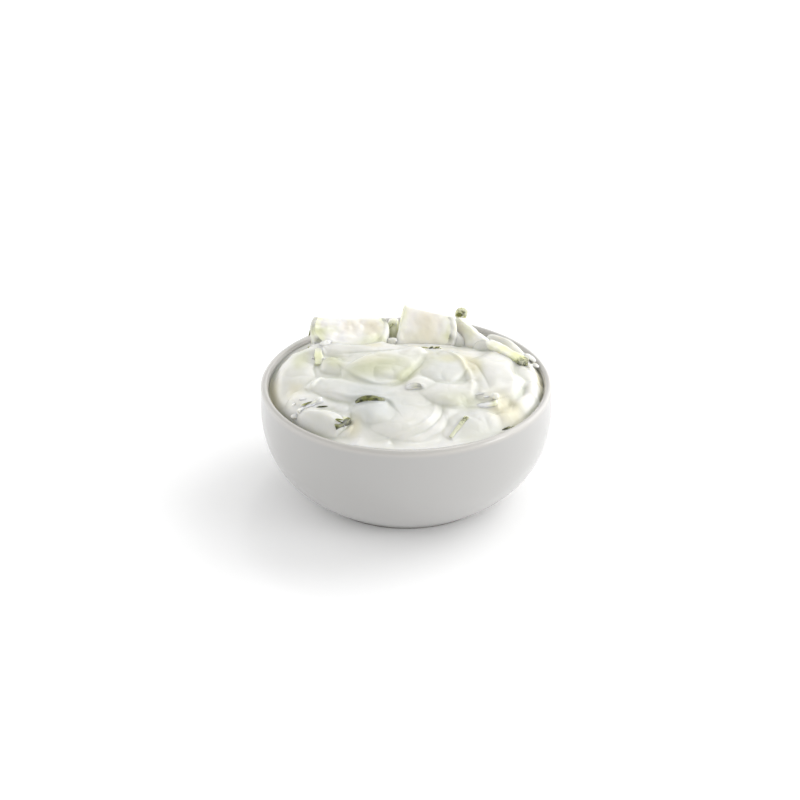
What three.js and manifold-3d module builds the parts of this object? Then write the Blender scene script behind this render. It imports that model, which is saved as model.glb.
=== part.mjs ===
// A ceramic bowl heaped with tzatziki: thick yogurt folded round slices of
// cucumber that stand, lean and lie in it. Millimetres, +Z up, the origin on
// the table under the middle of the bowl; -Y is the front.

import * as THREE from "three";
import { mergeVertices } from "three/addons/utils/BufferGeometryUtils.js";
import Module from "manifold-3d";

const wasm = await Module();
wasm.setup();

// ------------------------------------------------------- driving dimensions

// Bowl.
const RIM_RADIUS = 58.7; // outside of the lip
const SHOULDER_RADIUS = 58; // the wall draws in to this below the lip
const BOWL_HEIGHT = 47;
const WALL = 3; // at the lip, which is a full round
const BASE_WALL = 4.2; // where the wall runs into the floor
const FOOT_RADIUS = 38.3;
const FOOT_HEIGHT = 2;
const FOOT_RING = 4; // width of the ring that the bowl stands on
const FOOT_RECESS = 1.6; // height of the underside inside the ring
const FLOOR_RADIUS = 24; // flat middle of the floor
const FLOOR_HEIGHT = 4.6;
const SHOULDER_DROP = 7; // straight stretch of the wall under the lip
const BELLY_REACH = 29; // how far the belly's curve swings out from the foot
const BELLY_SLOPE = 32; // degrees, of the wall where it leaves the foot
const WALL_END_RADIUS = 39.9; // the wall overhangs the foot by the difference
const BOWL_SEGMENTS = 48;

// Yogurt.
const GAP = 0.4; // left round a slice
const BOWL_GAP = 0.45; // left between the yogurt and the bowl
const DIP_RINGS = 24; // rings of triangles over the surface
const HEAP = { top: 6.8, level: -1.2, reach: 62, middle: 2 }; // plain dome under the folds
const BACK_DROP = { depth: 5, from: 12, to: 36 }; // the dome is lower behind the slices

// Where the yogurt meets the wall: compass angle in degrees (0 right, 90 back,
// -90 front), level against the rim, and the width over which it bends there.
const SHORE = [
  [-180, -3.9, 3], [-160, -4.8, 2.8], [-140, -5.9, 2.8], [-125, -3, 5], [-110, -0.3, 7.5],
  [-70, -0.2, 8], [-55, -0.6, 7], [-40, -2.4, 3.4], [-16, -2.4, 2.2], [-12, -4.2, 2.2],
  [-7, -2.4, 2.2], [-3, -2.4, 2.2], [0, -3.4, 2.2], [4, -2.6, 2.2], [20, -2.6, 2.6],
  [45, -4.5, 3], [70, -5, 3], [90, -3.5, 3.2], [120, -3, 3.2], [150, -2, 3.2],
  [180, -3.9, 3],
];

// Folds and dollops of yogurt: place, height of the top over the rim, half
// length and half width, turn of the length in degrees, fall from top to
// edge, roundness (1 a dome, lower a fuller cushion) and softness of the
// crease round it.
const FOLDS = [
  {
    name: "left mass", at: [-42, 0], top: 5, half: [10, 22],
    turn: 4, fall: 4, round: 0.6, crease: 2,
  },
  {
    name: "between left and middle", at: [-4.6, 34.5], top: 5.2, half: [4.6, 7.4],
    turn: 0, fall: 5, round: 0.6, crease: 1.6,
  },
  {
    name: "between middle and right", at: [21.8, 33], top: 5.2, half: [4, 7],
    turn: 0, fall: 5, round: 0.6, crease: 1.6,
  },
  {
    name: "under strip", at: [32, 20.5], top: 6, half: [5, 4.5],
    turn: -40, fall: 4, round: 0.6, crease: 1.6,
  },
  {
    name: "left back", at: [-33, 19], top: 5.6, half: [13, 8],
    turn: 18, fall: 3.5, round: 0.6, crease: 1.6,
  },
  {
    name: "back roll", at: [-16, 16.4], top: 6.6, half: [21, 6.2],
    turn: 3, fall: 3.4, round: 0.55, crease: 1.4,
  },
  {
    name: "tongue", at: [-9.5, -1], top: 8.8, half: [19, 12.5],
    turn: 24, fall: 3.2, round: 0.5, crease: 1.2,
  },
  {
    name: "tongue tip", at: [3, 10], top: 9, half: [7, 5],
    turn: 30, fall: 2.4, round: 0.6, crease: 1.2,
  },
  {
    name: "olive lump", at: [-28, 2], top: 7, half: [6, 8],
    turn: 15, fall: 2.6, round: 0.6, crease: 1.4,
  },
  {
    name: "middle disc", at: [14, 0], top: 8, half: [10.5, 14],
    turn: -8, fall: 2.8, round: 0.5, crease: 1.2,
  },
  {
    name: "right mound", at: [34, -6], top: 7.4, half: [11, 20],
    turn: -6, fall: 3.6, round: 0.55, crease: 1.4,
  },
  {
    name: "right back", at: [37, 9], top: 4.6, half: [12, 8],
    turn: -20, fall: 3.4, round: 0.6, crease: 1.6,
  },
  {
    name: "behind strip", at: [42, 27], top: 4.8, half: [10, 4.5],
    turn: -52, fall: 3, round: 0.6, crease: 1.2,
  },
  {
    name: "right lump, back", at: [47, 1], top: 3.9, half: [7, 7],
    turn: 0, fall: 3.4, round: 0.55, crease: 1.2,
  },
  {
    name: "right lump", at: [48.5, -10], top: 3.8, half: [5.5, 7],
    turn: 0, fall: 3.4, round: 0.55, crease: 1.2,
  },
  {
    name: "right lump, front", at: [46, -22], top: 3.4, half: [7, 8],
    turn: 0, fall: 3.4, round: 0.55, crease: 1.2,
  },
  {
    name: "right corner", at: [41, -33], top: 3, half: [9, 7],
    turn: 40, fall: 3, round: 0.55, crease: 1.2,
  },
  {
    name: "shelf", at: [-20, -16], top: 7, half: [20, 9],
    turn: -4, fall: 3, round: 0.5, crease: 1.2,
  },
  {
    name: "bulge", at: [-12, -33], top: 6, half: [8, 9],
    turn: 0, fall: 3, round: 0.55, crease: 1.2,
  },
  {
    name: "front dish", at: [0, -38], top: 4.6, half: [15, 13],
    turn: 20, fall: 3, round: 0.5, crease: 1.4,
  },
  {
    name: "centre mound", at: [17, -20], top: 7.2, half: [12, 9],
    turn: -10, fall: 3.2, round: 0.55, crease: 1.4,
  },
  {
    name: "arc cap", at: [4, -14], top: 7.7, half: [6, 4.5],
    turn: 0, fall: 2.4, round: 0.6, crease: 1,
  },
  {
    name: "front left", at: [-33, -37], top: 4.5, half: [11.5, 6.5],
    turn: -24, fall: 3.2, round: 0.5, crease: 1.2,
  },
  {
    name: "left front", at: [-36, -24], top: 4.6, half: [10, 9],
    turn: -20, fall: 3, round: 0.6, crease: 1.6,
  },
  {
    name: "front right", at: [25, -40], top: 4, half: [12, 9],
    turn: 20, fall: 3, round: 0.55, crease: 1.4,
  },
];

// Cucumber slices. Each is a sector of a round slice. Its straight cut edge
// runs between two points, the heights measured from the rim: a quarter from
// the heart of the cucumber to the skin, a half from skin to skin. The rest
// hangs from that edge, leaning by some degrees (0 straight down, 90 level).
// With a bulge the skin side swells further out from the cut edge.
const SLICES = [
  {
    name: "half_slice_back_left",
    from: [-38.5, 36.8, 7.9], to: [-8.8, 36.6, 7.9],
    span: 180, lean: 74, thick: 5.4, bulge: 0.42,
  },
  {
    name: "quarter_slice_back_middle",
    from: [-0.5, 38.5, 15.1], to: [19.6, 37, 10.2],
    span: 90, lean: 42, thick: 5.6, bulge: 0.6,
  },
  {
    name: "green_wedge_back",
    from: [-5.4, 39.4, -3], to: [-5.4, 29.4, -0.6],
    span: 85, lean: 180, thick: 3.6, bulge: 0.3,
  },
  {
    name: "half_slice_right",
    from: [22.6, 41.5, 7.2], to: [34.6, 22.2, 5.4],
    span: 180, lean: 34, thick: 4,
  },
  {
    name: "skin_knob_back_right",
    from: [21.2, 40.2, 9], to: [25.2, 39.4, 8.9],
    span: 180, lean: 170, thick: 3.4, bulge: 0.7,
  },
  {
    name: "rind_strip_right",
    from: [34, 20.6, 7.3], to: [48.3, 6, 5.6],
    span: 60, lean: 0, thick: 4.8,
  },
  {
    name: "quarter_slice_left",
    from: [-36, 16.4, 6.1], to: [-35, 3.6, 5.2],
    span: 80, lean: 5, thick: 3.6,
  },
  {
    name: "slice_end_front_left",
    from: [-31, -33.5, 1.9], to: [-21.1, -37.1, 1.8],
    span: 46, lean: 84, thick: 2.6,
  },
  {
    name: "thin_slice_front_left",
    from: [-42, -31, 2.9], to: [-33.6, -25, 4.9],
    span: 80, lean: 20, thick: 1.8,
  },
  {
    name: "skin_arc_front",
    from: [-21.6, -26.3, -0.3], to: [-6.2, -26.3, -0.7],
    span: 180, lean: 172, thick: 2.6,
  },
  {
    name: "skin_arc_middle",
    from: [-1, -17.4, 2.5], to: [8.6, -17.4, 2.6],
    span: 180, lean: 170, thick: 1.8,
  },
  {
    name: "green_strip_front_right",
    from: [16.6, -48.5, 0.8], to: [23.2, -38, 4.2],
    span: 75, lean: -12, thick: 2,
  },
  {
    name: "slice_end_right",
    from: [22.4, -27, 2], to: [35, -26.5, 4.6],
    span: 75, lean: 10, thick: 3.6,
  },
];
const SLICE_STEP = 2.6; // between corners of a slice's skin
const SLICE_EDGE = 0.2; // softness of the knife edges, as a share of the thickness

// ------------------------------------------------------------------ finishes

const glaze = new THREE.MeshStandardMaterial({ color: 0xe6e3de, roughness: 0.25, metalness: 0 });
const yogurt = new THREE.MeshStandardMaterial({ color: 0xf4f5ef, roughness: 0.3, metalness: 0 });
const flesh = new THREE.MeshStandardMaterial({ color: 0xe9edc8, roughness: 0.3, metalness: 0 });

// ------------------------------------------------------------------- helpers

const radians = THREE.MathUtils.degToRad;

/** Closed geometry to manifold-3d solid. */
function toSolid(geometry) {
  const bare = geometry.clone();
  bare.deleteAttribute("normal");
  bare.deleteAttribute("uv");
  const merged = mergeVertices(bare, 1e-4);
  return new wasm.Manifold(new wasm.Mesh({
    numProp: 3,
    vertProperties: new Float32Array(merged.attributes.position.array),
    triVerts: new Uint32Array(merged.index.array),
  }));
}

/** Manifold-3d solid back to geometry, its largest body only. */
function toGeometry(solid) {
  const bodies = solid.decompose().sort((a, b) => b.volume() - a.volume());
  const mesh = bodies[0].getMesh();
  const geometry = new THREE.BufferGeometry();
  geometry.setAttribute("position", new THREE.Float32BufferAttribute(mesh.vertProperties, 3));
  geometry.setIndex(Array.from(mesh.triVerts));
  geometry.computeVertexNormals();
  return geometry;
}

// ---------------------------------------------------------------------- bowl

/** Outside of the wall from the lip down to the foot, as (radius, height). */
function outerWall() {
  const slope = radians(BELLY_SLOPE);
  const lip = BOWL_HEIGHT - WALL / 2;
  return new THREE.CubicBezierCurve(
    new THREE.Vector2(RIM_RADIUS, lip),
    new THREE.Vector2(SHOULDER_RADIUS, BOWL_HEIGHT - SHOULDER_DROP),
    new THREE.Vector2(
      WALL_END_RADIUS + BELLY_REACH * Math.cos(slope),
      FOOT_HEIGHT + BELLY_REACH * Math.sin(slope),
    ),
    new THREE.Vector2(WALL_END_RADIUS, FOOT_HEIGHT),
  );
}

/** Inside of the bowl from the lip to the axis, moved inwards by `inset`. */
function innerProfile(steps, inset = 0) {
  const outer = outerWall();
  const points = [];
  for (let i = 0; i <= steps; i += 1) {
    const t = i / steps;
    const at = outer.getPoint(t);
    const along = outer.getTangent(t);
    const depth = WALL + (BASE_WALL - WALL) * t + inset;
    points.push(new THREE.Vector2(at.x + along.y * depth, at.y - along.x * depth));
  }
  const wallEnd = points[points.length - 1];
  const floor = FLOOR_HEIGHT + inset;
  const bend = new THREE.QuadraticBezierCurve(
    wallEnd,
    new THREE.Vector2((wallEnd.x + FLOOR_RADIUS) / 2 + 2, floor),
    new THREE.Vector2(FLOOR_RADIUS, floor),
  );
  points.push(...bend.getPoints(3).slice(1), new THREE.Vector2(0, floor));
  return points;
}

/** The bowl: foot ring, wall, rounded lip, inside and floor. */
function bowlGeometry() {
  const lipRadius = WALL / 2;
  const lipSteps = 6;
  const ringInner = FOOT_RADIUS - FOOT_RING;
  const profile = [
    new THREE.Vector2(0, FOOT_RECESS),
    new THREE.Vector2(ringInner - 0.8, FOOT_RECESS),
    new THREE.Vector2(ringInner, 0),
    new THREE.Vector2(FOOT_RADIUS - 0.4, 0),
    new THREE.Vector2(FOOT_RADIUS, 0.4),
    new THREE.Vector2(FOOT_RADIUS, FOOT_HEIGHT - 0.3),
    ...outerWall().getPoints(12).reverse(),
  ];
  for (let i = 1; i < lipSteps; i += 1) {
    const angle = (Math.PI * i) / lipSteps;
    profile.push(new THREE.Vector2(
      RIM_RADIUS - lipRadius + lipRadius * Math.cos(angle),
      BOWL_HEIGHT - lipRadius + lipRadius * Math.sin(angle),
    ));
  }
  profile.push(...innerProfile(10));
  return new THREE.LatheGeometry(profile, BOWL_SEGMENTS).rotateX(Math.PI / 2);
}

// -------------------------------------------------------------------- yogurt

/** The larger of two heights, with a soft crease where they are close. */
function softMax(a, b, crease) {
  const close = Math.max(crease - Math.abs(a - b), 0);
  return Math.max(a, b) + (close * close) / (4 * crease);
}

/** Height of one fold over the rim at a point. */
function foldHeight(fold, x, y) {
  const turn = radians(fold.turn);
  const dx = x - fold.at[0];
  const dy = y - fold.at[1];
  const along = dx * Math.cos(turn) + dy * Math.sin(turn);
  const across = dy * Math.cos(turn) - dx * Math.sin(turn);
  const out = (along / fold.half[0]) ** 2 + (across / fold.half[1]) ** 2;
  const drop = out < 1 ? 1 - (1 - out) ** fold.round : 1 + 1.3 * (out - 1);
  return fold.top - fold.fall * drop;
}

/** Level and width of the yogurt's bend down to the wall in one direction. */
function shoreAt(x, y) {
  const angle = THREE.MathUtils.radToDeg(Math.atan2(y, x));
  const next = Math.max(1, SHORE.findIndex(([at]) => at >= angle));
  const [a0, level0, width0] = SHORE[next - 1];
  const [a1, level1, width1] = SHORE[next];
  const share = (angle - a0) / (a1 - a0);
  return { level: level0 + (level1 - level0) * share, width: width0 + (width1 - width0) * share };
}

/** Place on the folds, waved a little so that no fold stays an oval. */
function wavedPlace(x, y) {
  return [
    x + 1.1 * Math.sin(0.21 * y + 0.6) + 0.8 * Math.sin(0.41 * x - 0.27 * y + 1.7),
    y + Math.sin(0.19 * x - 0.9) + 0.8 * Math.sin(0.37 * y + 0.33 * x + 0.4),
  ];
}

/** Height of the yogurt over the rim at a point. */
function surfaceHeight(x, y) {
  const swell = 1 - (Math.hypot(x, y - HEAP.middle) / HEAP.reach) ** 2;
  const behind = THREE.MathUtils.smoothstep(y, BACK_DROP.from, BACK_DROP.to);
  let height = HEAP.level + (HEAP.top - HEAP.level) * swell - BACK_DROP.depth * behind;
  const [u, v] = wavedPlace(x, y);
  for (const fold of FOLDS) {
    height = softMax(height, foldHeight(fold, u, v), fold.crease);
  }
  const toWall = Math.max(RIM_RADIUS - WALL - Math.hypot(x, y), 0);
  const { level, width } = shoreAt(x, y);
  const bend = Math.exp(-((toWall / width) ** 2));
  return height * (1 - bend) + level * bend;
}

/** Triangles between two rings of points round the axis, however many each has. */
function stitch(index, outer, inner) {
  let i = 0;
  let j = 0;
  while (i < outer.count || j < inner.count) {
    const stepOuter = j >= inner.count
      || (i < outer.count && (i + 1) / outer.count <= (j + 1) / inner.count);
    const a = outer.start + (i % outer.count);
    const b = inner.start + (j % inner.count);
    if (stepOuter) {
      index.push(a, outer.start + ((i + 1) % outer.count), b);
      i += 1;
    } else {
      index.push(a, inner.start + ((j + 1) % inner.count), b);
      j += 1;
    }
  }
}

/** The yogurt: heaped folds on top, the inside of the bowl below. */
function yogurtGeometry() {
  const wall = innerProfile(10, BOWL_GAP);
  const positions = [];
  const index = [];
  const ring = (count, place) => {
    const start = positions.length / 3;
    for (let i = 0; i < count; i += 1) {
      positions.push(...place((2 * Math.PI * i) / count));
    }
    return { start, count };
  };
  const edge = (RIM_RADIUS + SHOULDER_RADIUS) / 2 - WALL - BOWL_GAP;

  const crown = ring(1, () => [0, 0, BOWL_HEIGHT + surfaceHeight(0, 0)]);
  let last = crown;
  for (let j = 1; j <= DIP_RINGS; j += 1) {
    const radius = (edge * j) / DIP_RINGS;
    const next = ring(6 * j, (angle) => {
      const x = radius * Math.cos(angle);
      const y = radius * Math.sin(angle);
      return [x, y, BOWL_HEIGHT + surfaceHeight(x, y)];
    });
    if (j === 1) {
      fan(index, last.start, next, false);
    } else {
      stitch(index, next, last);
    }
    last = next;
  }

  const corners = [48, 48, 48, 48, 36, 24];
  const levels = [3, 5, 7, 9, 11, 13];
  levels.forEach((level, k) => {
    const { x: radius, y: height } = wall[level];
    const next = ring(corners[k], (angle) => [
      radius * Math.cos(angle), radius * Math.sin(angle), height,
    ]);
    stitch(index, next, last);
    last = next;
  });
  const floor = wall[wall.length - 1].y;
  const middle = ring(1, () => [0, 0, floor]);
  fan(index, middle.start, last, true);

  const geometry = new THREE.BufferGeometry();
  geometry.setAttribute("position", new THREE.Float32BufferAttribute(positions, 3));
  geometry.setIndex(index);
  return geometry;
}

/** Triangles from one point to a ring round it. */
function fan(index, centre, ring, under) {
  for (let i = 0; i < ring.count; i += 1) {
    const a = ring.start + i;
    const b = ring.start + ((i + 1) % ring.count);
    index.push(centre, ...(under ? [b, a] : [a, b]));
  }
}

// ------------------------------------------------------------------ cucumber

/** One slice of cucumber, or the room it needs when `grow` is given. */
function sliceGeometry(slice, grow = 0) {
  const from = new THREE.Vector3(slice.from[0], slice.from[1], BOWL_HEIGHT + slice.from[2]);
  const to = new THREE.Vector3(slice.to[0], slice.to[1], BOWL_HEIGHT + slice.to[2]);
  const half = slice.span === 180;
  const heart = half ? from.clone().lerp(to, 0.5) : from;
  const radius = half ? from.distanceTo(to) / 2 : from.distanceTo(to);

  const span = radians(slice.span);
  const shift = (slice.bulge ?? 0) * radius;
  const ahead = radius - shift * Math.cos(span / 2);
  const aside = shift * Math.sin(span / 2);
  const skin = (angle) => shift * Math.cos(angle - span / 2)
    + Math.sqrt(ahead ** 2 + aside ** 2 - (shift * Math.sin(angle - span / 2)) ** 2);
  const steps = Math.max(5, Math.round((span * radius) / SLICE_STEP));
  const corners = half ? [] : [new THREE.Vector2(0, 0)];
  for (let i = 0; i <= steps; i += 1) {
    const angle = (span * i) / steps;
    const reach = skin(angle);
    corners.push(new THREE.Vector2(reach * Math.cos(angle), reach * Math.sin(angle)));
  }
  const outline = new THREE.Shape(corners);

  const soft = SLICE_EDGE * slice.thick;
  const depth = slice.thick - 2 * soft + 2 * grow;
  const geometry = new THREE.ExtrudeGeometry(outline, {
    depth,
    bevelEnabled: true,
    bevelThickness: soft,
    bevelSize: soft,
    bevelOffset: grow - soft,
    bevelSegments: 1,
    steps: 1,
  });
  geometry.translate(0, 0, -depth / 2);

  const edge = to.clone().sub(from).normalize();
  const down = new THREE.Vector3(0, 0, -1);
  down.addScaledVector(edge, -down.dot(edge)).normalize();
  const side = down.clone().cross(edge);
  const lean = radians(slice.lean);
  const hang = down.multiplyScalar(Math.cos(lean)).addScaledVector(side, Math.sin(lean));
  const face = edge.clone().cross(hang);
  const place = new THREE.Matrix4().makeBasis(edge, hang, face).setPosition(heart);
  return geometry.applyMatrix4(place);
}

// ------------------------------------------------------------------ the dish

const dish = new THREE.Group();

function add(name, geometry, material) {
  const mesh = new THREE.Mesh(geometry, material);
  mesh.name = name;
  dish.add(mesh);
}

add("bowl", bowlGeometry(), glaze);

let dip = toSolid(yogurtGeometry());
for (const slice of SLICES) {
  dip = dip.subtract(toSolid(sliceGeometry(slice, GAP)));
}
add("yogurt_dip", toGeometry(dip), yogurt);

for (const slice of SLICES) {
  add(slice.name, sliceGeometry(slice), flesh);
}

export default dish;
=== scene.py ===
"""Dresses a bowl of tzatziki: glazed bowl, folded yogurt and slices of cucumber.

Lengths in the classes are millimetres and heights of the dip are counted from
the rim. They are turned into metres where a mesh or a material is made.
"""

from __future__ import annotations

import logging
import math
from dataclasses import dataclass, field
from enum import Enum

import bpy
import numpy as np
from mathutils import Matrix, Vector

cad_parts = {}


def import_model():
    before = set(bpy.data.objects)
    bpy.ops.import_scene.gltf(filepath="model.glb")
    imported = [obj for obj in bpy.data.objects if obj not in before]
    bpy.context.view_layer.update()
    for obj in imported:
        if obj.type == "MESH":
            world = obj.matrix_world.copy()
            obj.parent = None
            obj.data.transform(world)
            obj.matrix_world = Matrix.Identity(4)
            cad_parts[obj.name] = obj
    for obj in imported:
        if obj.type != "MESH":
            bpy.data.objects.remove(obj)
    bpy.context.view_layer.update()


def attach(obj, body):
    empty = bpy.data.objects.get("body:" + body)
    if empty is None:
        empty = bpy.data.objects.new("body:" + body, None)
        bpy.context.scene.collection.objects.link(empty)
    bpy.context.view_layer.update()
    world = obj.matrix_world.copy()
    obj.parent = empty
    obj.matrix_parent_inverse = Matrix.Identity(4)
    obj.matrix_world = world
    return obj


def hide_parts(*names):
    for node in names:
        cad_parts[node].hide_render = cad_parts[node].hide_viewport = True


LOG = logging.getLogger("tzatziki")
MM = 0.001
BODY = "root"
SEED_STEP = 0.05  # metres by which a seed of one moves a place through the noise

Colour = tuple[float, float, float]
Spot = tuple[float, float]
Socket = bpy.types.NodeSocket
Inputs = dict[str | int, object]


class Layer(Enum):
    """Named point attributes that the materials read."""

    RING = "ring"
    FILM = "film"
    GREEN = "green"
    WARM = "warm"
    # painted shade: a darker grey-green laid on stretches of the dip that lie in shade
    THIN = "thin"
    # painted shade in the creases and hollows of the dip
    CREASE_SHADE = "deep"


# ---------------------------------------------------------------- node helpers


class Nodes:
    """Short ways to put nodes and links into one tree."""

    def __init__(self, tree: bpy.types.NodeTree) -> None:
        """Keeps the tree that the nodes go into."""
        self.tree = tree

    def add(self, kind: str, inputs: Inputs | None = None, **settings: object) -> bpy.types.Node:
        """Adds a node.

        Args:
            kind: the node's Blender type name.
            inputs: sockets or values for its inputs, by name or number.
            **settings: properties set on the node.

        Returns:
            The new node.
        """
        node = self.tree.nodes.new(kind)
        for name, value in settings.items():
            setattr(node, name, value)
        self.feed(node, inputs or {})
        return node

    def feed(self, node: bpy.types.Node, inputs: Inputs) -> None:
        """Links or sets some inputs of a node.

        Args:
            node: the node.
            inputs: sockets or values, by the input's name or number.
        """
        for name, value in inputs.items():
            if isinstance(value, Socket):
                self.tree.links.new(value, node.inputs[name])
            else:
                node.inputs[name].default_value = value

    def math(self, operation: str, *values: object, clamp: bool = False) -> Socket:
        """Adds a Math node.

        Args:
            operation: the node's operation.
            *values: sockets or numbers for its inputs.
            clamp: keeps the result between 0 and 1.

        Returns:
            The result's socket.
        """
        inputs = dict(enumerate(values))
        return self.add("ShaderNodeMath", inputs, operation=operation, use_clamp=clamp).outputs[0]

    def plus(self, first: object, second: object) -> Socket:
        """Adds a sum."""
        return self.math("ADD", first, second)

    def minus(self, first: object, second: object) -> Socket:
        """Adds a difference."""
        return self.math("SUBTRACT", first, second)

    def times(self, first: object, second: object) -> Socket:
        """Adds a product."""
        return self.math("MULTIPLY", first, second)

    def ramp(self, value: object, low: float, high: float) -> Socket:
        """Adds a smooth step from 0 at `low` to 1 at `high`."""
        inputs = {"Value": value, "From Min": low, "From Max": high}
        return self.add("ShaderNodeMapRange", inputs, interpolation_type="SMOOTHSTEP").outputs["Result"]

    def mix(self, share: object, first: object, second: object) -> Socket:
        """Mixes two colours.

        Args:
            share: share of the second colour.
            first: colour or socket.
            second: colour or socket.

        Returns:
            The mixed colour's socket.
        """
        inputs = {0: share}
        for place, value in ((6, first), (7, second)):
            inputs[place] = value if isinstance(value, Socket) else (*value, 1.0)
        return self.add("ShaderNodeMix", inputs, data_type="RGBA").outputs[2]

    def noise(self, where: Socket, scale: object, detail: float = 2.0) -> Socket:
        """Adds noise between 0 and 1."""
        inputs = {"Vector": where, "Scale": scale, "Detail": detail}
        return self.add("ShaderNodeTexNoise", inputs).outputs["Fac"]

    def waver(self, where: Socket, scale: float, width: float, detail: float = 2.0) -> Socket:
        """Adds noise round 0, of a given width."""
        return self.math("MULTIPLY_ADD", self.noise(where, scale, detail), width, -width / 2)

    def vector(self, operation: str, inputs: Inputs) -> Socket:
        """Adds a Vector Math node."""
        return self.add("ShaderNodeVectorMath", inputs, operation=operation).outputs[0]

    def stir(self, where: Socket, scale: object, amount: object) -> Socket:
        """Adds random offsets.

        Args:
            where: place that they hang on.
            scale: how fast they change.
            amount: twice as far as they can go along one axis.

        Returns:
            The offsets' socket.
        """
        colours = self.add("ShaderNodeTexNoise", {"Vector": where, "Scale": scale}).outputs["Color"]
        centred = self.vector("SUBTRACT", {0: colours, 1: (0.5, 0.5, 0.5)})
        return self.vector("SCALE", {0: centred, "Scale": amount})

    def join(self, x: object, y: object, z: object) -> Socket:
        """Adds a vector made of three numbers."""
        return self.add("ShaderNodeCombineXYZ", {"X": x, "Y": y, "Z": z}).outputs[0]

    def split(self, vector: Socket) -> list[Socket]:
        """Adds the three numbers of a vector."""
        return list(self.add("ShaderNodeSeparateXYZ", {0: vector}).outputs)

    def here(self) -> Socket:
        """Adds the place of every point of a geometry."""
        return self.add("GeometryNodeInputPosition").outputs[0]

    def seeded(self, seed: Socket) -> Socket:
        """Adds the place of every point, moved up by a seed to vary noise."""
        offset = self.join(0.0, 0.0, self.times(seed, SEED_STEP))
        return self.vector("ADD", {0: self.here(), 1: offset})

    def on_object(self) -> Socket:
        """Adds the place on the object in a material."""
        return self.add("ShaderNodeTexCoord").outputs["Object"]

    def layer(self, layer: Layer) -> Socket:
        """Reads one of the mesh's own attributes in a material."""
        return self.add("ShaderNodeAttribute", attribute_name=layer.value).outputs["Fac"]

    def shift(self, geometry: Socket, inputs: Inputs) -> Socket:
        """Moves a geometry's points by an Offset or to a Position."""
        return self.add("GeometryNodeSetPosition", {"Geometry": geometry, **inputs}).outputs[0]

    def store(self, geometry: Socket, layer: Layer, value: Socket) -> Socket:
        """Keeps a number for each point of a geometry."""
        inputs = {"Geometry": geometry, "Name": layer.value, "Value": value}
        kept = self.add("GeometryNodeStoreNamedAttribute", inputs, data_type="FLOAT", domain="POINT")
        return kept.outputs[0]

    def weld(self, geometry: Socket, distance: float) -> Socket:
        """Joins a geometry's points that lie within a distance."""
        inputs = {"Geometry": geometry, "Distance": distance}
        return self.add("GeometryNodeMergeByDistance", inputs).outputs[0]

    def dent(self, shader: bpy.types.Node, height: Socket, strength: float, depth: float) -> None:
        """Lets a height dent a shader's normals.

        Args:
            shader: the Principled BSDF.
            height: the height's socket.
            strength: how much of it shows.
            depth: how deep it is.
        """
        bump = self.add("ShaderNodeBump", {"Height": height, "Strength": strength, "Distance": depth * MM})
        self.feed(shader, {"Normal": bump.outputs["Normal"]})

    def finish(self, geometry: Socket, material: bpy.types.Material) -> bpy.types.NodeTree:
        """Ends a geometry tree: smooth faces, real instances, its material.

        Args:
            geometry: what the tree has made.
            material: what it is dressed in.

        Returns:
            The finished tree.
        """
        smooth = self.add("GeometryNodeSetShadeSmooth", {"Geometry": geometry})
        real = self.add("GeometryNodeRealizeInstances", {"Geometry": smooth.outputs[0]})
        paint = self.add("GeometryNodeSetMaterial", {"Geometry": real.outputs[0], "Material": material})
        self.add("NodeGroupOutput", {0: paint.outputs[0]})
        return self.tree


def open_tree(kind: str, name: str, inputs: dict[str, str], output: str) -> tuple[Nodes, dict[str, Socket]]:
    """Starts a node group with named sockets.

    Args:
        kind: "Geometry" or "Shader".
        name: the group's name.
        inputs: the kind of each input, by its name.
        output: the kind of its one output, which is also its name.

    Returns:
        The group's nodes and the sockets of its inputs, by name.
    """
    tree = bpy.data.node_groups.new(name, f"{kind}NodeTree")
    for label, sort in inputs.items():
        tree.interface.new_socket(label, in_out="INPUT", socket_type=f"NodeSocket{sort}")
    tree.interface.new_socket(output, in_out="OUTPUT", socket_type=f"NodeSocket{output}")
    nodes = Nodes(tree)
    entry = nodes.add("NodeGroupInput")
    return nodes, {label: entry.outputs[label] for label in inputs}


def open_material(name: str) -> tuple[bpy.types.Material, Nodes, bpy.types.Node]:
    """Starts a material.

    Args:
        name: its name.

    Returns:
        The material, its nodes and its Principled BSDF.
    """
    made = bpy.data.materials.new(name)
    made.use_nodes = True
    return made, Nodes(made.node_tree), made.node_tree.nodes["Principled BSDF"]


def wet_ripple() -> bpy.types.NodeTree:
    """The fine unevenness of something wet, as a value for bumps.

    Returns:
        The shader node group, built once.
    """
    known = bpy.data.node_groups.get("wet_ripple")
    if known:
        return known
    inputs = {"Coarse": "Float", "Fine": "Float", "Fine Share": "Float"}
    nodes, given = open_tree("Shader", "wet_ripple", inputs, "Float")
    where = nodes.on_object()
    coarse = nodes.noise(where, given["Coarse"], 3.0)
    fine = nodes.noise(where, given["Fine"])
    nodes.add("NodeGroupOutput", {0: nodes.math("MULTIPLY_ADD", fine, given["Fine Share"], coarse)})
    return nodes.tree


# -------------------------------------------------------------------- finishes


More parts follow.
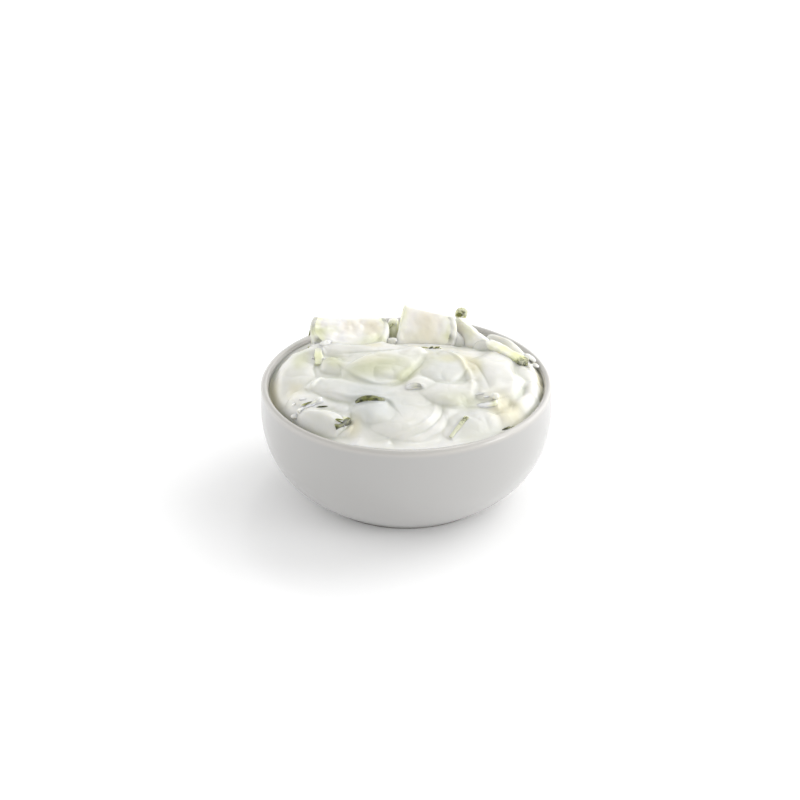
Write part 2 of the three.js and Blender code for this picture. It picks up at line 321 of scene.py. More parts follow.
@dataclass(frozen=True)
class WetFinish:
    """What wet yogurt and wet cucumber share: light that sinks in, and a ripple.

    `scatter` is how far light goes inside, `spread` that distance's share for
    each colour, and `ripple` how much of the surface's ripple shows.
    """

    roughness: float = 0.22
    scatter: float = 2.2
    spread: Colour = (1.0, 0.95, 0.8)
    ior: float = 1.4
    ripple: float = 0.2
    ripple_depth: float = 0.4
    ripple_coarse: float = 160.0
    ripple_fine: float = 700.0
    ripple_share: float = 0.3

    def relief(self, nodes: Nodes) -> Socket:
        """Adds the height of the surface's ripple.

        Args:
            nodes: the material's nodes.

        Returns:
            The height's socket.
        """
        sizes = {"Coarse": self.ripple_coarse, "Fine": self.ripple_fine, "Fine Share": self.ripple_share}
        return nodes.add("ShaderNodeGroup", sizes, node_tree=wet_ripple()).outputs[0]

    def wet(self, nodes: Nodes, shader: bpy.types.Node, colour: Socket, height: Socket) -> None:
        """Feeds a shader with a colour, the wet look and a relief.

        Args:
            nodes: the material's nodes.
            shader: its Principled BSDF.
            colour: the surface's colour.
            height: the relief's height.
        """
        nodes.feed(shader, {
            "Base Color": colour,
            "Roughness": self.roughness,
            "Subsurface Weight": 1.0,
            "Subsurface Radius": self.spread,
            "Subsurface Scale": self.scatter * MM,
            "IOR": self.ior,
        })
        nodes.dent(shader, height, self.ripple, self.ripple_depth)


@dataclass(frozen=True)
class YogurtFinish(WetFinish):
    """Wet strained yogurt, tinted where cucumber lies just under it, with painted shade on darker stretches
    and in its creases.
    """

    curd: Colour = (0.675, 0.672, 0.62)
    cream: Colour = (0.745, 0.738, 0.705)
    green: Colour = (0.53, 0.54, 0.385)
    warm: Colour = (0.69, 0.655, 0.485)
    # thin is painted shade, the darker grey-green laid where the dip lies in shade
    thin: Colour = (0.575, 0.59, 0.57)
    # painted shade: the darker, greener colour laid in the creases
    deep: Colour = (0.59, 0.605, 0.52)
    patch_scale: float = 70.0
    patch_range: Spot = (0.35, 0.7)

    def material(self) -> bpy.types.Material:
        """Builds the material.

        Returns:
            The material.
        """
        made, nodes, shader = open_material("yogurt")
        patches = nodes.ramp(nodes.noise(nodes.on_object(), self.patch_scale), *self.patch_range)
        colour = nodes.mix(patches, self.curd, self.cream)
        # the thin and crease colours are painted shade: darker colours laid where the dip lies in shade
        tints = {Layer.THIN: self.thin, Layer.CREASE_SHADE: self.deep}
        tints |= {Layer.GREEN: self.green, Layer.WARM: self.warm}
        for layer, tint in tints.items():
            colour = nodes.mix(nodes.layer(layer), colour, tint)
        self.wet(nodes, shader, colour, self.relief(nodes))
        return made


@dataclass(frozen=True)
class CucumberFinish(WetFinish):
    """Cucumber from heart to skin, with yogurt clinging to it; the clinging film is painted lighter than the
    yogurt in the dip, as painted light.

    The ranges for flesh, rind and skin are where each takes over from what lies
    inside it, from 0 at the heart to 1 at the skin. `uneven` and `ragged` are
    how far those places stray.
    """

    heart: Colour = (0.825, 0.79, 0.735)
    flesh: Colour = (0.82, 0.80, 0.77)
    rind: Colour = (0.745, 0.755, 0.48)
    # painted light: the yogurt film on the slices is coloured lighter than the same yogurt in the dip
    painted_lit_film: Colour = (0.84, 0.835, 0.815)
    skin: Colour = (0.03, 0.035, 0.012)
    skin_pale: Colour = (0.175, 0.185, 0.06)
    green: Colour = (0.66, 0.675, 0.45)
    warm: Colour = (0.755, 0.715, 0.59)
    flesh_range: Spot = (0.30, 0.46)
    rind_range: Spot = (0.72, 0.92)
    skin_range: Spot = (0.93, 0.965)
    streak_range: Spot = (0.36, 0.66)
    streak_scale: float = 420.0
    uneven: float = 0.12
    uneven_scale: float = 220.0
    ragged: float = 0.06
    ragged_scale: float = 900.0
    cover: float = 0.92
    film_relief: float = 0.8
    scatter: float = 3.5
    spread: Colour = (1.0, 0.97, 0.82)
    ior: float = 1.38
    ripple: float = 0.3

    def material(self) -> bpy.types.Material:
        """Builds the material.

        Returns:
            The material.
        """
        made, nodes, shader = open_material("cucumber")
        where = nodes.on_object()
        ring = nodes.layer(Layer.RING)
        uneven = nodes.plus(ring, nodes.waver(where, self.uneven_scale, self.uneven))
        colour = nodes.mix(nodes.ramp(uneven, *self.flesh_range), self.heart, self.flesh)
        colour = nodes.mix(nodes.ramp(uneven, *self.rind_range), colour, self.rind)
        streak = nodes.ramp(nodes.noise(where, self.streak_scale), *self.streak_range)
        skin = nodes.mix(streak, self.skin, self.skin_pale)
        ragged = nodes.plus(ring, nodes.waver(where, self.ragged_scale, self.ragged))
        colour = nodes.mix(nodes.ramp(ragged, *self.skin_range), colour, skin)
        film = nodes.times(nodes.layer(Layer.FILM), self.cover)
        # painted light: the film takes the lighter colour
        colour = nodes.mix(film, colour, self.painted_lit_film)
        colour = nodes.mix(nodes.layer(Layer.GREEN), colour, self.green)
        colour = nodes.mix(nodes.layer(Layer.WARM), colour, self.warm)
        height = nodes.math("MULTIPLY_ADD", film, self.film_relief, self.relief(nodes))
        self.wet(nodes, shader, colour, height)
        return made


@dataclass(frozen=True)
class GlazeFinish:
    """Off-white satin glaze, a little warmer where it thins at the lip, with a near-black band round the
    bottom of the foot: bare clay there, painted as dark as the contact shadow.
    """

    glaze: Colour = (0.42, 0.415, 0.405)
    thin: Colour = (0.52, 0.50, 0.465)
    speck: Colour = (0.45, 0.42, 0.38)
    # painted contact shadow: the bare band at the foot's bottom is coloured near black
    clay_contact_shade: Colour = (0.12, 0.11, 0.10)
    contact_shade_height: float = 0.55
    contact_shade_edge: float = 0.2
    thin_from: float = 3.0
    thin_to: float = 0.8
    cloud_scale: float = 45.0
    cloud_share: float = 0.6
    speck_scale: float = 900.0
    speck_range: Spot = (0.68, 0.78)
    speck_share: float = 0.10
    roughness: float = 0.36
    roughness_spread: float = 0.12
    coat: float = 0.8
    coat_roughness: float = 0.12
    grain: float = 0.12
    grain_scale: float = 380.0
    grain_depth: float = 0.2

    def material(self, rim: float) -> bpy.types.Material:
        """Builds the material.

        Args:
            rim: height of the rim.

        Returns:
            The material.
        """
        made, nodes, shader = open_material("glaze")
        where = nodes.on_object()
        level = nodes.split(where)[2]
        cloud = nodes.noise(where, self.cloud_scale, 3.0)
        near_lip = nodes.ramp(level, (rim - self.thin_from) * MM, (rim - self.thin_to) * MM)
        clouded = nodes.math("MULTIPLY_ADD", cloud, self.cloud_share, 1 - self.cloud_share)
        thin = nodes.times(near_lip, clouded)
        colour = nodes.mix(thin, self.glaze, self.thin)
        speck = nodes.ramp(nodes.noise(where, self.speck_scale, 1.0), *self.speck_range)
        colour = nodes.mix(nodes.times(speck, self.speck_share), colour, self.speck)
        # painted contact shadow on the bottom band of the foot
        low, high = ((self.contact_shade_height + side * self.contact_shade_edge) * MM for side in (-1, 1))
        contact_shade_band = nodes.minus(1.0, nodes.ramp(level, low, high))
        least = self.roughness - self.roughness_spread / 2
        nodes.feed(shader, {
            "Base Color": nodes.mix(contact_shade_band, colour, self.clay_contact_shade),
            "Roughness": nodes.math("MULTIPLY_ADD", cloud, self.roughness_spread, least),
            "Coat Weight": self.coat,
            "Coat Roughness": self.coat_roughness,
        })
        nodes.dent(shader, nodes.noise(where, self.grain_scale, 3.0), self.grain, self.grain_depth)
        return made


@dataclass(frozen=True)
class FloorFinish:
    """Seamless white studio paper on a faint light table."""

    paper: Colour = (0.97, 0.97, 0.97)
    grain: Colour = (0.96, 0.96, 0.96)
    fibre_scale: float = 300.0
    glow: float = 0.03

    def material(self) -> bpy.types.Material:
        """Builds the material.

        Returns:
            The material.
        """
        made, nodes, shader = open_material("studio_paper")
        fibres = nodes.noise(nodes.on_object(), self.fibre_scale)
        nodes.feed(shader, {
            "Base Color": nodes.mix(fibres, self.paper, self.grain),
            "Roughness": 1.0,
            "Specular IOR Level": 0.0,
            "Emission Color": (1, 1, 1, 1),
            "Emission Strength": self.glow,
        })
        return made


# ---------------------------------------------------------------- mesh helpers


def run_tree(
    name: str, start: bpy.types.Mesh, tree: bpy.types.NodeTree, values: dict[str, float]
) -> bpy.types.Object:
    """Runs a geometry tree once and keeps its result as a plain mesh.

    Args:
        name: name of the piece.
        start: mesh that the tree begins with.
        tree: the geometry tree.
        values: its inputs by name.

    Returns:
        The piece, with no modifier.
    """
    piece = bpy.data.objects.new(name, start)
    bpy.context.scene.collection.objects.link(piece)
    modifier = piece.modifiers.new("nodes", "NODES")
    modifier.node_group = tree
    for item in tree.interface.items_tree:
        if item.in_out == "INPUT" and item.name in values:
            modifier[item.identifier] = values[item.name]
    bpy.context.view_layer.update()
    ready = piece.evaluated_get(bpy.context.evaluated_depsgraph_get())
    mesh = bpy.data.meshes.new_from_object(ready)
    mesh.name = name
    piece.modifiers.clear()
    piece.data = mesh
    bpy.data.meshes.remove(start)
    return piece


def mesh_piece(
    name: str, points: np.ndarray, faces: np.ndarray, material: bpy.types.Material
) -> bpy.types.Object:
    """Makes a smooth piece from triangles.

    Args:
        name: name of the piece.
        points: vertices in metres.
        faces: rows of three vertex numbers.
        material: its finish.

    Returns:
        The piece's object.
    """
    mesh = bpy.data.meshes.new(name)
    mesh.vertices.add(len(points))
    mesh.vertices.foreach_set("co", np.asarray(points, np.float32).ravel())
    mesh.loops.add(faces.size)
    mesh.loops.foreach_set("vertex_index", faces.astype(np.int32).ravel())
    mesh.polygons.add(len(faces))
    mesh.polygons.foreach_set("loop_start", np.arange(0, faces.size, 3, dtype=np.int32))
    mesh.update(calc_edges=True)
    mesh.polygons.foreach_set("use_smooth", np.ones(len(faces), bool))
    mesh.materials.append(material)
    mesh.validate()
    piece = bpy.data.objects.new(name, mesh)
    bpy.context.scene.collection.objects.link(piece)
    return piece


def write_layer(mesh: bpy.types.Mesh, layer: Layer, values: np.ndarray) -> None:
    """Stores one number for each vertex."""
    attribute = mesh.attributes.get(layer.value) or mesh.attributes.new(layer.value, "FLOAT", "POINT")
    attribute.data.foreach_set("value", np.asarray(values, np.float32))


def mesh_points(mesh: bpy.types.Mesh) -> np.ndarray:
    """Reads a mesh's vertices.

    Args:
        mesh: the mesh.

    Returns:
        Their places as rows, in metres.
    """
    points = np.zeros(len(mesh.vertices) * 3)
    mesh.vertices.foreach_get("co", points)
    return points.reshape(-1, 3)


def face_out(piece: bpy.types.Object) -> None:
    """Turns a closed mesh's faces outwards.

    Args:
        piece: the piece, whose volume tells which way its faces point.
    """
    mesh = piece.data
    mesh.calc_loop_triangles()
    corners = np.zeros(len(mesh.loop_triangles) * 3, np.int32)
    mesh.loop_triangles.foreach_get("vertices", corners)
    a, b, c = (mesh_points(mesh)[corners.reshape(-1, 3)[:, k]] for k in range(3))
    if np.einsum("ij,ij->", a, np.cross(b, c)) < 0:
        mesh.flip_normals()


def dress(piece: bpy.types.Object, node: str) -> None:
    """Puts a piece in place of its solid.

    Args:
        piece: the piece.
        node: the solid's node.
    """
    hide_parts(node)
    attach(piece, BODY)
    LOG.info("%s: %d faces in place of %s", piece.name, len(piece.data.polygons), node)


def around(count: int) -> np.ndarray:
    """Evenly spread directions, as (cosine, sine) rows."""
    angle = 2 * math.pi * np.arange(count) / count
    return np.stack([np.cos(angle), np.sin(angle)], 1)


def turned(x: np.ndarray, y: np.ndarray, at: Spot, degrees: float) -> tuple[np.ndarray, np.ndarray]:
    """Counts places from a centre, along and across a turned axis.

    Args:
        x: places across the dish.
        y: places front to back.
        at: the centre.
        degrees: how far the axis is turned.

    Returns:
        The places along and across.
    """
    turn = math.radians(degrees)
    dx, dy = x - at[0], y - at[1]
    return dx * math.cos(turn) + dy * math.sin(turn), dy * math.cos(turn) - dx * math.sin(turn)


def smooth_noise(x: np.ndarray, y: np.ndarray, size: float, seed: int) -> np.ndarray:
    """Seeded noise between about -1 and 1.

    Args:
        x: places across.
        y: places front to back.
        size: width of a lump.
        seed: draw of the noise.

    Returns:
        The noise at each place.
    """
    side = 256
    cells = np.random.default_rng(seed).uniform(-1, 1, (side, side))
    u, v = x / size + side / 2, y / size + side / 2
    iu, iv = np.floor(u).astype(int), np.floor(v).astype(int)
    su, sv = (f**3 * (f * (f * 6 - 15) + 10) for f in (u - iu, v - iv))
    a, b = cells[iv % side, iu % side], cells[iv % side, (iu + 1) % side]
    c, d = cells[(iv + 1) % side, iu % side], cells[(iv + 1) % side, (iu + 1) % side]
    return (a * (1 - su) + b * su) * (1 - sv) + (c * (1 - su) + d * su) * sv


def disc_faces(counts: list[int], total: int) -> np.ndarray:
    """Triangles that join rings of points into a closed body.

    Args:
        counts: points in each ring, the first a single one.
        total: all points, with a single one last.

    Returns:
        Rows of three vertex numbers.
    """
    start = 1
    faces = [(0, start + i, start + (i + 1) % counts[1]) for i in range(counts[1])]
    for inner, outer in zip(counts[1:], counts[2:]):
        following = start + inner
        i = j = 0
        while i < outer or j < inner:
            a = following + i % outer
            b = start + j % inner
            if j >= inner or (i < outer and (i + 1) * inner <= (j + 1) * outer):
                faces.append((a, following + (i + 1) % outer, b))
                i += 1
            else:
                faces.append((a, start + (j + 1) % inner, b))
                j += 1
        start = following
    last = counts[-1]
    faces += [(total - 1, start + (i + 1) % last, start + i) for i in range(last)]
    return np.array(faces)


# ------------------------------------------------------------------------ bowl


@dataclass
class Bowl:
    """The thrown bowl: foot ring, curved wall, rounded lip and inside.

    `waver` is how far the wall strays from a true round, as a share of its
    radius, and `snug` keeps it inside the true round all the same. Points
    closer than `seam` are joined.
    """

    rim_radius: float = 58.7
    shoulder_radius: float = 58.0
    height: float = 47.0
    wall: float = 3.0
    base_wall: float = 4.2
    foot_radius: float = 38.3
    foot_height: float = 2.0
    foot_ring: float = 4.0
    foot_recess: float = 1.6
    floor_radius: float = 24.0
    floor_height: float = 4.6
    shoulder_drop: float = 7.0
    belly_reach: float = 29.0
    belly_slope: float = 32.0
    wall_end_radius: float = 39.9
    waver: float = 0.003
    waver_scale: float = 1.3
    waver_rise: float = 14.0
    snug: float = 0.9992
    seam: float = 0.001
    segments: int = 220
    finish: GlazeFinish = field(default_factory=GlazeFinish)

    def outer_wall(self, share: np.ndarray) -> tuple[np.ndarray, np.ndarray]:
        """Places on the outside of the wall.

        Args:
            share: 0 at the lip to 1 at the foot.

        Returns:
            The places, and the unit normals that point into the wall, as
            (radius, height) rows.
        """
        slope = math.radians(self.belly_slope)
        reach = self.belly_reach
        corners = np.array([
            (self.rim_radius, self.height - self.wall / 2),
            (self.shoulder_radius, self.height - self.shoulder_drop),
            (self.wall_end_radius + reach * math.cos(slope), self.foot_height + reach * math.sin(slope)),
            (self.wall_end_radius, self.foot_height),
        ])
        t = np.asarray(share, float)[:, None]
        s = 1 - t
        weights = (s**3, 3 * s * s * t, 3 * s * t * t, t**3)
        place = sum(weight * corner for weight, corner in zip(weights, corners))
        step = np.diff(corners, axis=0)
        along = s * s * step[0] + 2 * s * t * step[1] + t * t * step[2]
        along /= np.linalg.norm(along, axis=1)[:, None]
        return place, np.stack([along[:, 1], -along[:, 0]], 1)

    def inner_profile(self, steps: int, inset: float = 0.0) -> np.ndarray:
        """The inside from the lip to the axis.

        Args:
            steps: stretches along the wall.
            inset: how far the line is moved off the wall.

        Returns:
            (radius, height) rows.
        """
        share = np.linspace(0, 1, steps + 1)
        place, inward = self.outer_wall(share)
        depth = self.wall + (self.base_wall - self.wall) * share + inset
        wall = place + inward * depth[:, None]
        floor = self.floor_height + inset
        start = wall[-1]
        middle = np.array([(start[0] + self.floor_radius) / 2 + 2, floor])
        end = np.array([self.floor_radius, floor])
        t = np.linspace(0, 1, 9)[1:, None]
        bend = (1 - t) ** 2 * start + 2 * t * (1 - t) * middle + t * t * end
        flat = np.array([(r, floor) for r in np.linspace(self.floor_radius, 0, 6)[1:]])
        return np.vstack([wall, bend, flat])

    def profile(self) -> np.ndarray:
        """The whole section, from the axis below to the axis above.

        Returns:
            (radius, height) rows.
        """
        inner = self.foot_radius - self.foot_ring
        recess = [(r, self.foot_recess) for r in np.linspace(0, inner - 1.2, 8)]
        ring = [
            (inner - 0.7, self.foot_recess - 0.25),
            (inner - 0.25, 0.45),
            (inner + 0.2, 0.08),
            (inner + 0.7, 0.0),
            (self.foot_radius - 0.7, 0.0),
            (self.foot_radius - 0.35, 0.06),
            (self.foot_radius - 0.1, 0.25),
            (self.foot_radius, 0.6),
            (self.foot_radius, self.foot_height - 0.45),
            (self.foot_radius + 0.35, self.foot_height - 0.12),
            (self.foot_radius + 0.9, self.foot_height),
        ]
        wall, _ = self.outer_wall(np.linspace(1, 0, 61))
        lip = self.wall / 2
        angles = np.linspace(0, math.pi, 15)[1:-1]
        centre = np.array([self.rim_radius - lip, self.height - lip])
        top = centre + lip * np.stack([np.cos(angles), np.sin(angles)], 1)
        return np.vstack([recess, ring, wall, top, self.inner_profile(50)])

    def revolve_tree(self, material: bpy.types.Material) -> bpy.types.NodeTree:
        """Geometry nodes that turn a line of points round the Z axis.

        Args:
            material: what the surface is dressed in.

        Returns:
            The node tree, with the inputs Segments, Points, Waver and Snug.
        """
        inputs = {"Section": "Geometry", "Segments": "Int", "Points": "Int"}
        inputs |= {"Waver": "Float", "Snug": "Float"}
        nodes, given = open_tree("Geometry", "revolve_section", inputs, "Geometry")
        sides = {"Vertices X": nodes.plus(given["Segments"], 1), "Vertices Y": given["Points"]}
        grid = nodes.add("GeometryNodeMeshGrid", sides)
        across, along, _ = nodes.split(nodes.here())
        angle = nodes.times(nodes.plus(across, 0.5), 2 * math.pi)
        row = nodes.times(nodes.plus(along, 0.5), nodes.minus(given["Points"], 1))
        found = {"Geometry": given["Section"], "Value": nodes.here(), "Index": nodes.math("ROUND", row)}
        sample = nodes.add("GeometryNodeSampleIndex", data_type="FLOAT_VECTOR", domain="POINT")
        nodes.feed(sample, found)
        radius, _, level = nodes.split(sample.outputs[0])
        cosine = nodes.math("COSINE", angle)
        sine = nodes.math("SINE", angle)
        on_wall = nodes.join(cosine, sine, nodes.times(level, self.waver_rise))
        drift = nodes.waver(on_wall, self.waver_scale, 1.0, 1.0)
        radius = nodes.times(radius, nodes.math("MULTIPLY_ADD", drift, given["Waver"], given["Snug"]))
        place = nodes.join(nodes.times(radius, cosine), nodes.times(radius, sine), level)
        surface = nodes.shift(grid.outputs["Mesh"], {"Position": place})
        return nodes.finish(nodes.weld(surface, self.seam * MM), material)

    def build(self) -> bpy.types.Object:
        """Makes the bowl and puts it in place of its plain solid.

        Returns:
            The bowl's object.
        """
        section = self.profile() * MM
        points = np.zeros((len(section), 3))
        points[:, (0, 2)] = section
        line = bpy.data.meshes.new("bowl_section")
        line.from_pydata(points.tolist(), [(i, i + 1) for i in range(len(points) - 1)], [])
        tree = self.revolve_tree(self.finish.material(self.height))
        values = {"Segments": self.segments, "Points": len(points), "Waver": self.waver, "Snug": self.snug}
        piece = run_tree("glazed_bowl", line, tree, values)
        face_out(piece)
        dress(piece, "bowl")
        return piece


# ----------------------------------------------------- folds, strokes and tints


@dataclass(frozen=True)
class Fold:
    """One fold or dollop of yogurt.

    Attributes are its place, the height of its top, half length and width,
    turn in degrees, fall from top to edge, roundness, and softness of the
    crease round it.
    """

    name: str
    at: Spot
    top: float
    half: Spot
    turn: float
    fall: float
    round: float
    crease: float

    def height(self, x: np.ndarray, y: np.ndarray) -> np.ndarray:
        """Its height over the rim.

        Args:
            x: places across.
            y: places front to back.

        Returns:
            The heights.
        """
        along, across = turned(x, y, self.at, self.turn)
        out = (along / self.half[0]) ** 2 + (across / self.half[1]) ** 2
        inside = 1 - np.maximum(1 - out, 0) ** self.round
        return self.top - self.fall * np.where(out < 1, inside, 1 + 1.3 * (out - 1))


@dataclass(frozen=True)
class Sway:
    """A wave over the dish that pushes folds out of their even shape."""

    size: float
    per_x: float
    per_y: float
    phase: float

    def push(self, x: np.ndarray, y: np.ndarray) -> np.ndarray:
        """How far it pushes some places."""
        return self.size * np.sin(self.per_x * x + self.per_y * y + self.phase)


class Mark(Enum):
    """What a spoon leaves behind in yogurt."""

    RIDGE = "ridge"
    CREASE = "crease"
    LEDGE = "ledge"


@dataclass(frozen=True)
class Stroke:
    """A ridge, a crease or the lip of a fold that follows a curved path.

    A ledge lifts what lies left of its path and lowers what lies right of it,
    or the other way round where its height is negative.
    """

    mark: Mark
    path: tuple[Spot, ...]
    height: float
    width: float

    def curve(self, steps: int = 8) -> np.ndarray:
        """A smooth line through the points of the path.

        Args:
            steps: stretches between two points.

        Returns:
            Its points as rows.
        """
        ends = np.array(self.path, float)
        ends = np.vstack([2 * ends[0] - ends[1], ends, 2 * ends[-1] - ends[-2]])
        t = np.linspace(0, 1, steps, endpoint=False)[:, None]
        pieces = []
        for a, b, c, d in zip(ends, ends[1:], ends[2:], ends[3:]):
            bent = (2 * a - 5 * b + 4 * c - d) * t**2 + (3 * b - a - 3 * c + d) * t**3
            pieces.append(0.5 * (2 * b + (c - a) * t + bent))
        return np.vstack([*pieces, ends[-2:-1]])

    def relief(self, x: np.ndarray, y: np.ndarray) -> np.ndarray:
        """How far it lifts the surface.

        Args:
            x: places across.
            y: places front to back.

        Returns:
            The lift at each place.
        """
        line = self.curve()
        best = np.full(x.shape, np.inf)
        side = np.zeros(x.shape)
        share = np.zeros(x.shape)
        count = len(line) - 1
        for number in range(count):
            start, step = line[number], line[number + 1] - line[number]
            length = float(np.hypot(*step))
            along = ((x - start[0]) * step[0] + (y - start[1]) * step[1]) / length**2
            along = np.clip(along, 0, 1)
            gap = np.hypot(x - start[0] - along * step[0], y - start[1] - along * step[1])
            turn = (step[0] * (y - start[1]) - step[1] * (x - start[0])) / length
            nearer = gap < best
            best = np.where(nearer, gap, best)
            side = np.where(nearer, np.sign(turn), side)
            share = np.where(nearer, (number + along) / count, share)
        taper = np.sin(math.pi * np.clip(share, 0.02, 0.98)) ** 0.6
        if self.mark is Mark.RIDGE:
            form = np.exp(-((best / self.width) ** 2)) + 0.4 * np.exp(-((best / (3 * self.width)) ** 2))
        elif self.mark is Mark.CREASE:
            form = -np.exp(-best / self.width)
        else:
            form = np.tanh(side * best / self.width) * np.exp(-best / (4 * self.width))
        return self.height * taper * form


@dataclass(frozen=True)
class Tint:
    """A patch where a layer of the material shows, fading to its edge."""

    layer: Layer
    at: Spot
    half: Spot
    turn: float
    strength: float

    def weight(self, x: np.ndarray, y: np.ndarray) -> np.ndarray:
        """Its strength at some places.

        Args:
            x: places across.
            y: places front to back.

        Returns:
            The strengths.
        """
        along, across = turned(x, y, self.at, self.turn)
        out = (along / self.half[0]) ** 2 + (across / self.half[1]) ** 2
        return self.strength * np.exp(-(out**1.5))


def paint_tints(mesh: bpy.types.Mesh, tints: tuple[Tint, ...]) -> None:
    """Stores how strong each layer's tints are at every vertex.

    Args:
        mesh: the mesh.
        tints: all its tints.
    """
    x, y, _ = mesh_points(mesh).T / MM
    for layer in sorted({tint.layer for tint in tints}, key=lambda entry: entry.value):
        total = sum(tint.weight(x, y) for tint in tints if tint.layer is layer)
        write_layer(mesh, layer, np.clip(total, 0, 1))


SWAY_X = (Sway(1.1, 0.0, 0.21, 0.6), Sway(0.8, 0.41, -0.27, 1.7))
SWAY_Y = (Sway(1.0, 0.19, 0.0, -0.9), Sway(0.8, 0.33, 0.37, 0.4))

FOLDS = (
    Fold("left mass", (-42, 0), 5.0, (10, 22), 4, 4, 0.6, 2),
    Fold("between left and middle", (-4.6, 34.5), 5.2, (4.6, 7.4), 0, 5, 0.6, 1.6),
    Fold("between middle and right", (21.8, 33), 5.2, (4, 7), 0, 5, 0.6, 1.6),
    Fold("under strip", (32, 20.5), 6.0, (5, 4.5), -40, 4, 0.6, 1.6),
    Fold("left back", (-33, 19), 5.6, (13, 8), 18, 3.5, 0.6, 1.6),
    Fold("back roll", (-16, 16.4), 6.6, (21, 6.2), 3, 3.4, 0.55, 1.4),
    Fold("tongue", (-9.5, -1), 8.8, (19, 12.5), 24, 3.2, 0.5, 1.2),
    Fold("tongue tip", (3, 10), 9.0, (7, 5), 30, 2.4, 0.6, 1.2),
    Fold("olive lump", (-28, 2), 7.0, (6, 8), 15, 2.6, 0.6, 1.4),
    Fold("middle disc", (14, 0), 8.0, (10.5, 14), -8, 2.8, 0.5, 1.2),
    Fold("right mound", (34, -6), 7.4, (11, 20), -6, 3.6, 0.55, 1.4),
    Fold("right back", (37, 9), 4.6, (12, 8), -20, 3.4, 0.6, 1.6),
    Fold("behind strip", (42, 27), 4.8, (10, 4.5), -52, 3, 0.6, 1.2),
    Fold("right lump, back", (47, 1), 3.9, (7, 7), 0, 3.4, 0.55, 1.2),
    Fold("right lump", (48.5, -10), 3.8, (5.5, 7), 0, 3.4, 0.55, 1.2),
    Fold("right lump, front", (46, -22), 3.4, (7, 8), 0, 3.4, 0.55, 1.2),
    Fold("right corner", (41, -33), 3.0, (9, 7), 40, 3, 0.55, 1.2),
    Fold("shelf", (-20, -16), 7.0, (20, 9), -4, 3, 0.5, 1.2),
    Fold("bulge", (-12, -33), 6.0, (8, 9), 0, 3, 0.55, 1.2),
    Fold("front dish", (0, -38), 4.6, (15, 13), 20, 3, 0.5, 1.4),
    Fold("centre mound", (17, -20), 7.2, (12, 9), -10, 3.2, 0.55, 1.4),
    Fold("arc cap", (4, -14), 7.7, (6, 4.5), 0, 2.4, 0.6, 1.0),
    Fold("front left", (-33, -37), 4.5, (11.5, 6.5), -24, 3.2, 0.5, 1.2),
    Fold("left front", (-36, -24), 4.6, (10, 9), -20, 3, 0.6, 1.6),
    Fold("front right", (25, -40), 4.0, (12, 9), 20, 3, 0.55, 1.4),
)

STROKES = (
    Stroke(Mark.LEDGE, ((-25, -4), (-20, -12), (-12, -16), (-4, -14), (1, -7), (5, 3), (7, 10)), 0.8, 0.8),
    Stroke(Mark.LEDGE, ((-24, -3), (-19, 4), (-12, 9), (-4, 12), (3, 13)), -0.5, 0.8),
    Stroke(Mark.CREASE, ((-7, -17), (-1, -11), (5, -2), (8, 7)), 0.8, 1.2),
    Stroke(Mark.RIDGE, ((15, 13), (21, 6), (24.5, -5), (26, -15), (25, -22)), 0.9, 1.2),
    Stroke(Mark.CREASE, ((23, 10), (28, 0), (31, -10), (32.5, -19)), 0.8, 1.1),
    Stroke(Mark.LEDGE, ((41, 4), (42.5, -6), (43.5, -16), (41.5, -25)), -0.7, 0.9),
    Stroke(Mark.LEDGE, ((-30, -22), (-22, -25), (-14, -25), (-7, -27), (-4, -33)), 0.9, 0.7),
    Stroke(Mark.RIDGE, ((-8, -50), (1.5, -47), (8, -41), (11, -34), (11, -27)), 0.3, 0.8),
    Stroke(Mark.CREASE, ((0, -50), (8, -45), (13, -37), (14, -28)), 0.7, 1.0),
    Stroke(Mark.RIDGE, ((-38, -18), (-36, -13), (-33, -8)), 0.9, 0.8),
    Stroke(Mark.CREASE, ((-35, 13), (-37, 2), (-36, -7)), 0.9, 1.2),
    Stroke(Mark.CREASE, ((-21.4, -33), (-21.6, -38), (-23.6, -42), (-27, -45)), 2.2, 1.6),
    Stroke(Mark.CREASE, ((-30, 12), (-18, 12.5), (-8, 14.5), (0, 17)), 0.6, 1.0),
)

